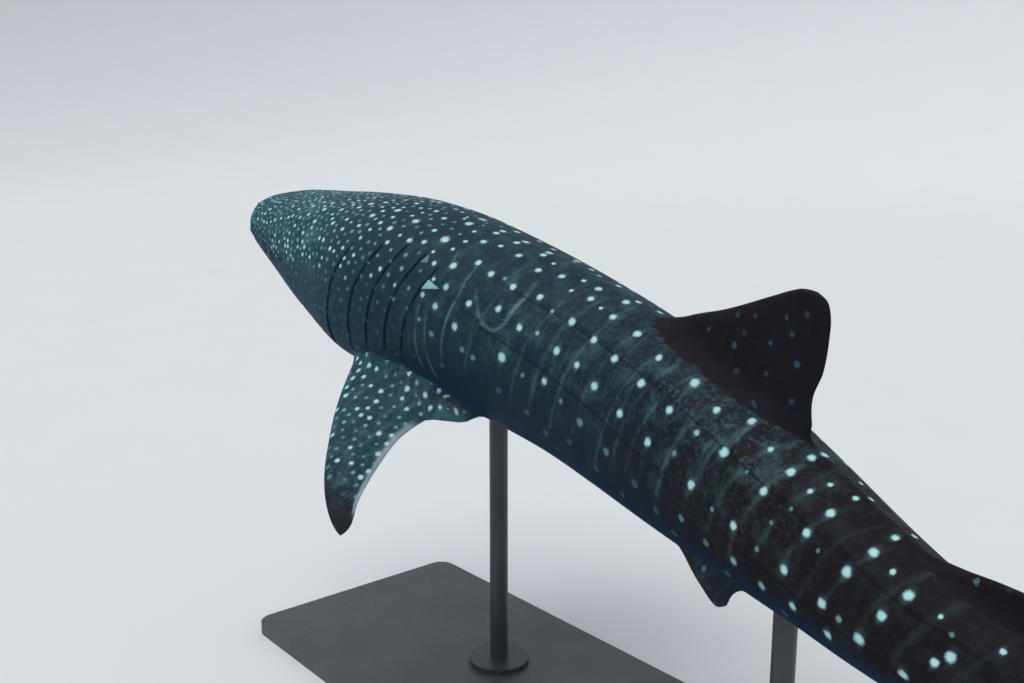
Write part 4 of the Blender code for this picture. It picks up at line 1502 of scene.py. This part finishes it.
class Shading:
    """A short way to build a material's nodes."""

    def __init__(self, name):
        self.material = bpy.data.materials.new(name)
        self.material.use_nodes = True
        self.tree = self.material.node_tree
        self.shader = self.tree.nodes["Principled BSDF"]

    def node(self, kind, **settings):
        made = self.tree.nodes.new(kind)
        for name, value in settings.items():
            setattr(made, name, value)
        return made

    def put(self, socket, value):
        """Links an output to a socket, or sets the socket to a number or a colour."""
        if isinstance(value, bpy.types.NodeSocket):
            self.tree.links.new(value, socket)
        else:
            socket.default_value = value

    def attribute(self, name, output="Fac"):
        return self.node("ShaderNodeAttribute", attribute_name=name).outputs[output]

    def about_zero(self, value, amount):
        """A noise value moved to lie about 0, times some amount."""
        return self.math("MULTIPLY", self.math("SUBTRACT", value, 0.5), amount)

    def math(self, operation, first, second=0.0):
        made = self.node("ShaderNodeMath", operation=operation)
        self.put(made.inputs[0], first)
        self.put(made.inputs[1], second)
        return made.outputs[0]

    def vector(self, operation, first, second=None):
        made = self.node("ShaderNodeVectorMath", operation=operation)
        self.put(made.inputs[0], first)
        if second is not None:
            self.put(made.inputs[1], second)
        return made.outputs["Value" if operation == "LENGTH" else "Vector"]

    def scaled(self, vector, factor):
        made = self.node("ShaderNodeVectorMath", operation="SCALE")
        self.put(made.inputs[0], vector)
        self.put(made.inputs["Scale"], factor)
        return made.outputs["Vector"]

    def ramp(self, value, start, end, low=0.0, high=1.0):
        """A smooth step from low to high between two values."""
        made = self.node("ShaderNodeMapRange", interpolation_type="SMOOTHSTEP")
        for socket, number in zip(made.inputs, (value, start, end, low, high)):
            self.put(socket, number)
        return made.outputs["Result"]

    def noise(self, place, scale, detail=4.0, roughness=0.55, output="Fac"):
        made = self.node("ShaderNodeTexNoise")
        self.put(made.inputs["Vector"], place)
        made.inputs["Scale"].default_value = scale
        made.inputs["Detail"].default_value = detail
        made.inputs["Roughness"].default_value = roughness
        return made.outputs[output]

    def mix(self, amount, first, second):
        made = self.node("ShaderNodeMix", data_type="RGBA")
        for index, value in ((0, amount), (6, first), (7, second)):
            self.put(made.inputs[index], value)
        return made.outputs[2]

    def bump(self, height, strength, distance, before=None):
        made = self.node("ShaderNodeBump")
        self.put(made.inputs["Height"], height)
        made.inputs["Strength"].default_value = strength
        made.inputs["Distance"].default_value = distance
        if before is not None:
            self.put(made.inputs["Normal"], before)
        return made.outputs["Normal"]

    def set(self, **values):
        for name, value in values.items():
            self.put(self.shader.inputs[name.replace("_", " ")], value)


def colour(red, green, blue):
    """A colour given as it shows on a screen, from 0 to 255."""
    def linear(value):
        value = value / 255
        return value / 12.92 if value <= 0.04045 else ((value + 0.055) / 1.055) ** 2.4
    return (linear(red), linear(green), linear(blue), 1.0)


# A lighter blue-green head grading to a dark hind end: partly the skin's own tone, partly painted light
HEAD_TONE = colour(30, 70, 86)
SHOULDER_TONE = colour(20, 48, 62)
HIND_TONE = colour(22, 15, 22)
MOTTLE_TONE = colour(78, 112, 116)
# Dark flecks at random over the skin, and painted shade in the creases under the ridges
DARK_FLECK_AND_SHADE_TONE = colour(10, 16, 24)
# Painted shade: the dark blue of the low flank
LOW_FLANK_SHADE_TONE = colour(20, 44, 70)
BELLY_TONE = colour(172, 190, 198)
SPOT_TONE = colour(172, 214, 216)
DIM_SPOT_TONE = colour(96, 134, 142)
# Faint spots, partly dim in their own colour and partly blue with painted shade low on the flanks
FAINT_AND_SHADED_SPOT_TONE = colour(50, 92, 122)
STROKE_TONE = colour(104, 142, 146)
SCAR_TONE = colour(142, 192, 202)
# Painted shade inside the mouth and the gill slits
MOUTH_AND_SLIT_SHADE_TONE = colour(26, 24, 28)


def skin_ground(s, place, patchy, fine):
    """The colour of the skin between the markings, with painted light on the head and painted shade in blue
    low on the flanks.
    """
    broad = s.noise(place, 2.4, 4.0, 0.55)
    # Partly painted light: the head is lighter and the hind end darker
    tone = s.math("ADD", s.attribute("tone"), s.about_zero(broad, 0.30))
    base = s.mix(s.ramp(tone, 0.0, 0.5), HEAD_TONE, SHOULDER_TONE)
    base = s.mix(s.ramp(tone, 0.45, 1.0), base, HIND_TONE)
    base = s.mix(s.ramp(fine, 0.40, 0.72, 0.0, 0.45), base, DARK_FLECK_AND_SHADE_TONE)
    mottle = s.attribute("mottle")
    clouds = s.math("MULTIPLY", s.ramp(patchy, 0.46, 0.72, 0.0, 0.62), mottle)
    base = s.mix(clouds, base, MOTTLE_TONE)
    flecks = s.math("MULTIPLY", s.ramp(fine, 0.48, 0.66, 0.0, 0.38), mottle)
    base = s.mix(flecks, base, MOTTLE_TONE)
    streaks = s.noise(s.vector("MULTIPLY", place, (30.0, 3.4, 3.4)), 1.0, 5.0, 0.62)
    streaks = s.math("MULTIPLY", s.ramp(streaks, 0.50, 0.72, 0.0, 0.42), mottle)
    base = s.mix(streaks, base, MOTTLE_TONE)
    # Painted shade: the low flank turns dark blue above the pale belly
    blue = s.math("ADD", s.attribute("blue"), s.about_zero(patchy, 0.4))
    return s.mix(s.ramp(blue, 0.1, 1.0, 0.0, 0.9), base, LOW_FLANK_SHADE_TONE)


def with_lines(s, base, patchy, fine):
    """The soft pale bars and loops, and painted shade in the creases under the ridges."""
    across = s.math("ABSOLUTE", s.math("ADD", s.attribute("stroke"), s.about_zero(fine, 1.4)))
    broken = s.ramp(patchy, 0.36, 0.60, 0.25, 1.0)
    line = s.math("MULTIPLY", s.ramp(across, 0.0, 1.35, 1.0, 0.0), broken)
    base = s.mix(s.math("MULTIPLY", line, s.attribute("stroke_strength")), base, STROKE_TONE)
    # Painted shade: a dark line along the crease under each ridge
    crease = s.math("ABSOLUTE", s.math("ADD", s.attribute("crease"), s.about_zero(fine, 1.6)))
    return s.mix(s.ramp(crease, 0.2, 1.7, 0.6, 0.0), base, DARK_FLECK_AND_SHADE_TONE)


def with_spots(s, base, place, patchy):
    """The pale spots: soft discs of uneven outline, with smudges above and below them."""
    wobble = s.vector("SUBTRACT", s.noise(place, 46.0, 3.0, 0.6, "Color"), (0.5, 0.5, 0.5))
    offset = s.vector("ADD", s.attribute("spot", "Vector"), s.scaled(wobble, 0.78))
    strength = s.attribute("spot_strength")
    smudge = s.vector("LENGTH", s.vector("MULTIPLY", offset, (0.85, 0.50, 0.50)))
    smudge = s.math("MULTIPLY", s.ramp(smudge, 0.30, 1.20, 0.40, 0.0), s.ramp(patchy, 0.35, 0.60, 0.3, 1.0))
    base = s.mix(s.math("MULTIPLY", smudge, s.ramp(strength, 0.2, 0.8)), base, MOTTLE_TONE)
    distance = s.vector("LENGTH", offset)
    # Weak spots turn faint blue: partly their own dimness, partly painted shade on the low flank
    tone = s.mix(s.ramp(strength, 0.15, 0.42), FAINT_AND_SHADED_SPOT_TONE, DIM_SPOT_TONE)
    tone = s.mix(s.ramp(strength, 0.42, 0.85), tone, SPOT_TONE)
    tone = s.mix(s.ramp(distance, 0.35, 1.0, 0.0, 0.35), tone, DIM_SPOT_TONE)
    core = s.math("MULTIPLY", s.ramp(distance, 0.50, 1.15, 1.0, 0.0), s.ramp(strength, 0.0, 0.45, 0.15, 1.0))
    return s.mix(core, base, tone)


def with_scars(s, base, fine):
    """Pale scars with crisp edges."""
    sides = s.node("ShaderNodeSeparateXYZ")
    s.put(sides.inputs[0], s.attribute("scar", "Vector"))
    inside = s.math("MINIMUM", s.math("MINIMUM", sides.outputs[0], sides.outputs[1]), sides.outputs[2])
    inside = s.math("ADD", inside, s.about_zero(fine, 0.008))
    scar = s.math("MULTIPLY", s.ramp(inside, -0.001, 0.004), s.attribute("scar_strength"))
    return s.mix(scar, base, s.mix(s.ramp(fine, 0.40, 0.70, 0.0, 0.5), SCAR_TONE, MOTTLE_TONE))


def skin_material():
    s = Shading("whale_shark_skin")
    place = s.attribute("straight", "Vector")
    patchy = s.noise(place, 10.0, 6.0, 0.62)
    fine = s.noise(place, 55.0, 5.0, 0.62)
    grain = s.noise(place, 260.0, 3.0, 0.6)
    base = skin_ground(s, place, patchy, fine)
    base = with_lines(s, base, patchy, fine)
    base = with_spots(s, base, place, patchy)
    base = with_scars(s, base, fine)
    # Darker fin tips, and painted shade on the inner trailing part of each pectoral
    base = s.mix(s.math("MULTIPLY", s.attribute("dark"), 0.85), base, HIND_TONE)
    pale = s.math("ADD", s.attribute("pale"), s.about_zero(patchy, 0.5))
    belly = s.mix(s.ramp(fine, 0.35, 0.75, 0.0, 0.30), BELLY_TONE, MOTTLE_TONE)
    base = s.mix(s.ramp(pale, 0.15, 0.85), base, belly)
    # Painted shade inside the mouth and the gill slits
    base = s.mix(s.ramp(s.attribute("inside"), 0.10, 0.9, 0.0, 0.94), base, MOUTH_AND_SLIT_SHADE_TONE)

    rough = s.ramp(patchy, 0.3, 0.7, 0.52, 0.68)
    rough = s.math("ADD", rough, s.about_zero(grain, 0.14))
    wrinkles = s.noise(s.vector("MULTIPLY", place, (0.5, 1.0, 1.0)), 24.0, 6.0, 0.6)
    normal = s.bump(wrinkles, 0.30, 0.010)
    normal = s.bump(fine, 0.30, 0.004, normal)
    normal = s.bump(grain, 0.30, 0.0012, normal)
    s.set(Base_Color=base, Roughness=rough, Normal=normal)
    s.set(Specular_IOR_Level=0.10)
    return s.material


def eye_profile():
    """Half the outline of an eyeball, from its back to the middle of its cornea: (distance out, radius)."""
    points = []
    for t in np.linspace(math.pi, CORNEA_EDGE, 34):
        points.append((EYE_RADIUS * math.cos(t), EYE_RADIUS * math.sin(t)))
    edge_out, edge_radius = points[-1]
    for share in np.linspace(0, 1, 18)[1:]:
        dome = CORNEA_DOME * (1 - (1 - share) ** 2) + CORNEA_TIP * share
        points.append((edge_out + dome, edge_radius * (1 - share)))
    return points


def make_eye(name, side, material):
    """An eyeball with a domed cornea, looking out of the head."""
    frame = eye_frame(side)
    centre = to_world(frame[0] / LENGTH)
    ahead = unit(to_world((frame[0] + frame[1] * 0.01) / LENGTH) - centre)
    across = unit(np.cross(ahead, (0.0, 0.0, 1.0)))
    up = np.cross(across, ahead)
    turn = np.arange(EYE_TURNS)[:, None] * 2 * np.pi / EYE_TURNS
    profile = eye_profile()
    points, gaze = [], []
    for out, radius in profile[1:-1]:
        points.append(centre + out * ahead + radius * (np.cos(turn) * across + np.sin(turn) * up))
        gaze.extend([math.atan2(radius, out)] * EYE_TURNS)
    points += [[centre + profile[0][0] * ahead], [centre + profile[-1][0] * ahead]]
    item = loft_object(name + "_ball", np.concatenate(points), len(profile) - 2, EYE_TURNS)
    add_attribute(item.data, "gaze", "POINT", np.array(gaze + [math.pi, 0.0]))
    dress(item, "eye", material, name)


def eye_material():
    s = Shading("whale_shark_eye")
    gaze = s.attribute("gaze")
    place = s.node("ShaderNodeTexCoord").outputs["Object"]
    fibres = s.noise(place, 320.0, 4.0, 0.6)
    wide = s.math("ADD", gaze, s.about_zero(fibres, 0.05))
    iris = s.mix(s.ramp(fibres, 0.35, 0.65), colour(24, 23, 21), colour(58, 55, 48))
    white = s.mix(fibres, colour(12, 14, 17), colour(30, 33, 37))
    base = s.mix(s.ramp(wide, 0.58, 0.70), iris, white)
    base = s.mix(s.ramp(wide, 0.38, 0.43), colour(2, 3, 4), base)
    s.set(Base_Color=base, Roughness=s.ramp(gaze, 0.6, 0.9, 0.07, 0.22))
    s.set(Normal=s.bump(fibres, 0.08, 0.0004))
    s.set(Specular_IOR_Level=0.3, Coat_Weight=0.35, Coat_Roughness=0.05)
    return s.material


def paint_material(name, tone, lighter):
    """Satin paint on metal, slightly uneven, with fine dust and soft rubbing."""
    s = Shading(name)
    place = s.node("ShaderNodeTexCoord").outputs["Object"]
    cloud = s.noise(place, 3.0, 5.0, 0.6)
    peel = s.noise(place, 420.0, 2.0, 0.5)
    dust = s.noise(place, 46.0, 6.0, 0.7)
    base = s.mix(s.ramp(cloud, 0.35, 0.7, 0.0, 0.6), tone, lighter)
    base = s.mix(s.ramp(dust, 0.56, 0.8, 0.0, 0.25), base, colour(150, 150, 150))
    rough = s.ramp(dust, 0.3, 0.75, 0.34, 0.52)
    s.set(Base_Color=base, Roughness=rough, Normal=s.bump(peel, 0.18, 0.0006))
    s.set(Metallic=0.25, Specular_IOR_Level=0.5)
    return s.material


def finish_stand():
    """The stand keeps its solids and gets its paint, with softened edges."""
    base_paint = paint_material("stand_base_paint", colour(66, 69, 74), colour(80, 83, 88))
    rod_paint = paint_material("stand_rod_paint", colour(54, 57, 62), colour(70, 73, 78))
    for name, item in frame["nodes"].items():
        if not name.startswith("stand_"):
            continue
        item.data.materials.clear()
        item.data.materials.append(base_paint if name == "stand_base" else rod_paint)
        edges = item.modifiers.new("soft edges", "BEVEL")
        edges.width = 0.004
        edges.segments = 3
        edges.limit_method = "ANGLE"
        edges.angle_limit = math.radians(40)


def floor_material():
    s = Shading("studio_floor")
    place = s.node("ShaderNodeTexCoord").outputs["Object"]
    cloud = s.noise(place, 0.8, 4.0, 0.5)
    base = s.mix(s.ramp(cloud, 0.3, 0.7), colour(215, 218, 221), colour(216, 219, 222))
    s.set(Base_Color=base, Roughness=0.85, Specular_IOR_Level=0.1)
    return s.material


def add_floor():
    """A round floor that sweeps up into a wall far behind, so that no horizon shows."""
    rise = np.linspace(0, np.pi / 2, SWEEP_STEPS)
    sweep = zip(FLOOR_RADIUS + SWEEP_RADIUS * np.sin(rise), SWEEP_RADIUS * (1 - np.cos(rise)))
    rings = [(radius, 0.0) for radius in FLOOR_RADII] + list(sweep)
    rings.append((rings[-1][0], WALL_HEIGHT))
    turn = np.arange(FLOOR_TURNS) * 2 * np.pi / FLOOR_TURNS
    points = [(0.0, 0.0, 0.0)]
    for radius, height in rings:
        points += [(radius * math.cos(t), radius * math.sin(t), height) for t in turn]
    faces = []
    for j in range(FLOOR_TURNS):
        k = (j + 1) % FLOOR_TURNS
        faces.append((0, 1 + j, 1 + k))
        for near in range(1, 1 + (len(rings) - 1) * FLOOR_TURNS, FLOOR_TURNS):
            far = near + FLOOR_TURNS
            faces.append((near + j, far + j, far + k, near + k))
    data = bpy.data.meshes.new("floor")
    data.from_pydata(points, [], faces)
    data.shade_smooth()
    data.materials.append(floor_material())
    add_object("floor", data)


def add_sun():
    """Light from a wide, soft source far away."""
    light = bpy.data.lights.new("key", "SUN")
    light.energy = SUN_STRENGTH
    light.angle = SUN_SPREAD
    light.color = SUN_TONE
    item = add_object("key", light)
    item.rotation_mode = "QUATERNION"
    item.rotation_quaternion = Vector(SUN_TOWARDS).to_track_quat("Z", "Y")


def add_world():
    world = bpy.data.worlds.new("studio")
    world.use_nodes = True
    background = world.node_tree.nodes["Background"]
    background.inputs["Color"].default_value = SKY_TONE
    background.inputs["Strength"].default_value = SKY_STRENGTH
    bpy.context.scene.world = world
    bpy.context.scene.view_settings.view_transform = "Standard"


def add_camera():
    """The camera behind the left side, looking towards the head."""
    right = Vector(CAMERA_RIGHT).normalized()
    up = Vector(CAMERA_UP)
    up = (up - up.dot(right) * right).normalized()
    camera = bpy.data.cameras.new("camera")
    camera.sensor_width = SENSOR_WIDTH
    camera.lens = FOCAL_PIXELS / PHOTO_WIDTH * SENSOR_WIDTH
    item = add_object("camera", camera)
    turn = Matrix((right, up, right.cross(up))).transposed().to_4x4()
    item.matrix_world = Matrix.Translation(CAMERA_PLACE) @ turn
    bpy.context.scene.camera = item


def main():
    add_camera()
    make_skin(skin_material())
    eyes = eye_material()
    for name, side in EYE_NODES.items():
        make_eye(name, side, eyes)
    finish_stand()
    add_floor()
    add_world()
    add_sun()


main()

bpy.context.view_layer.update()
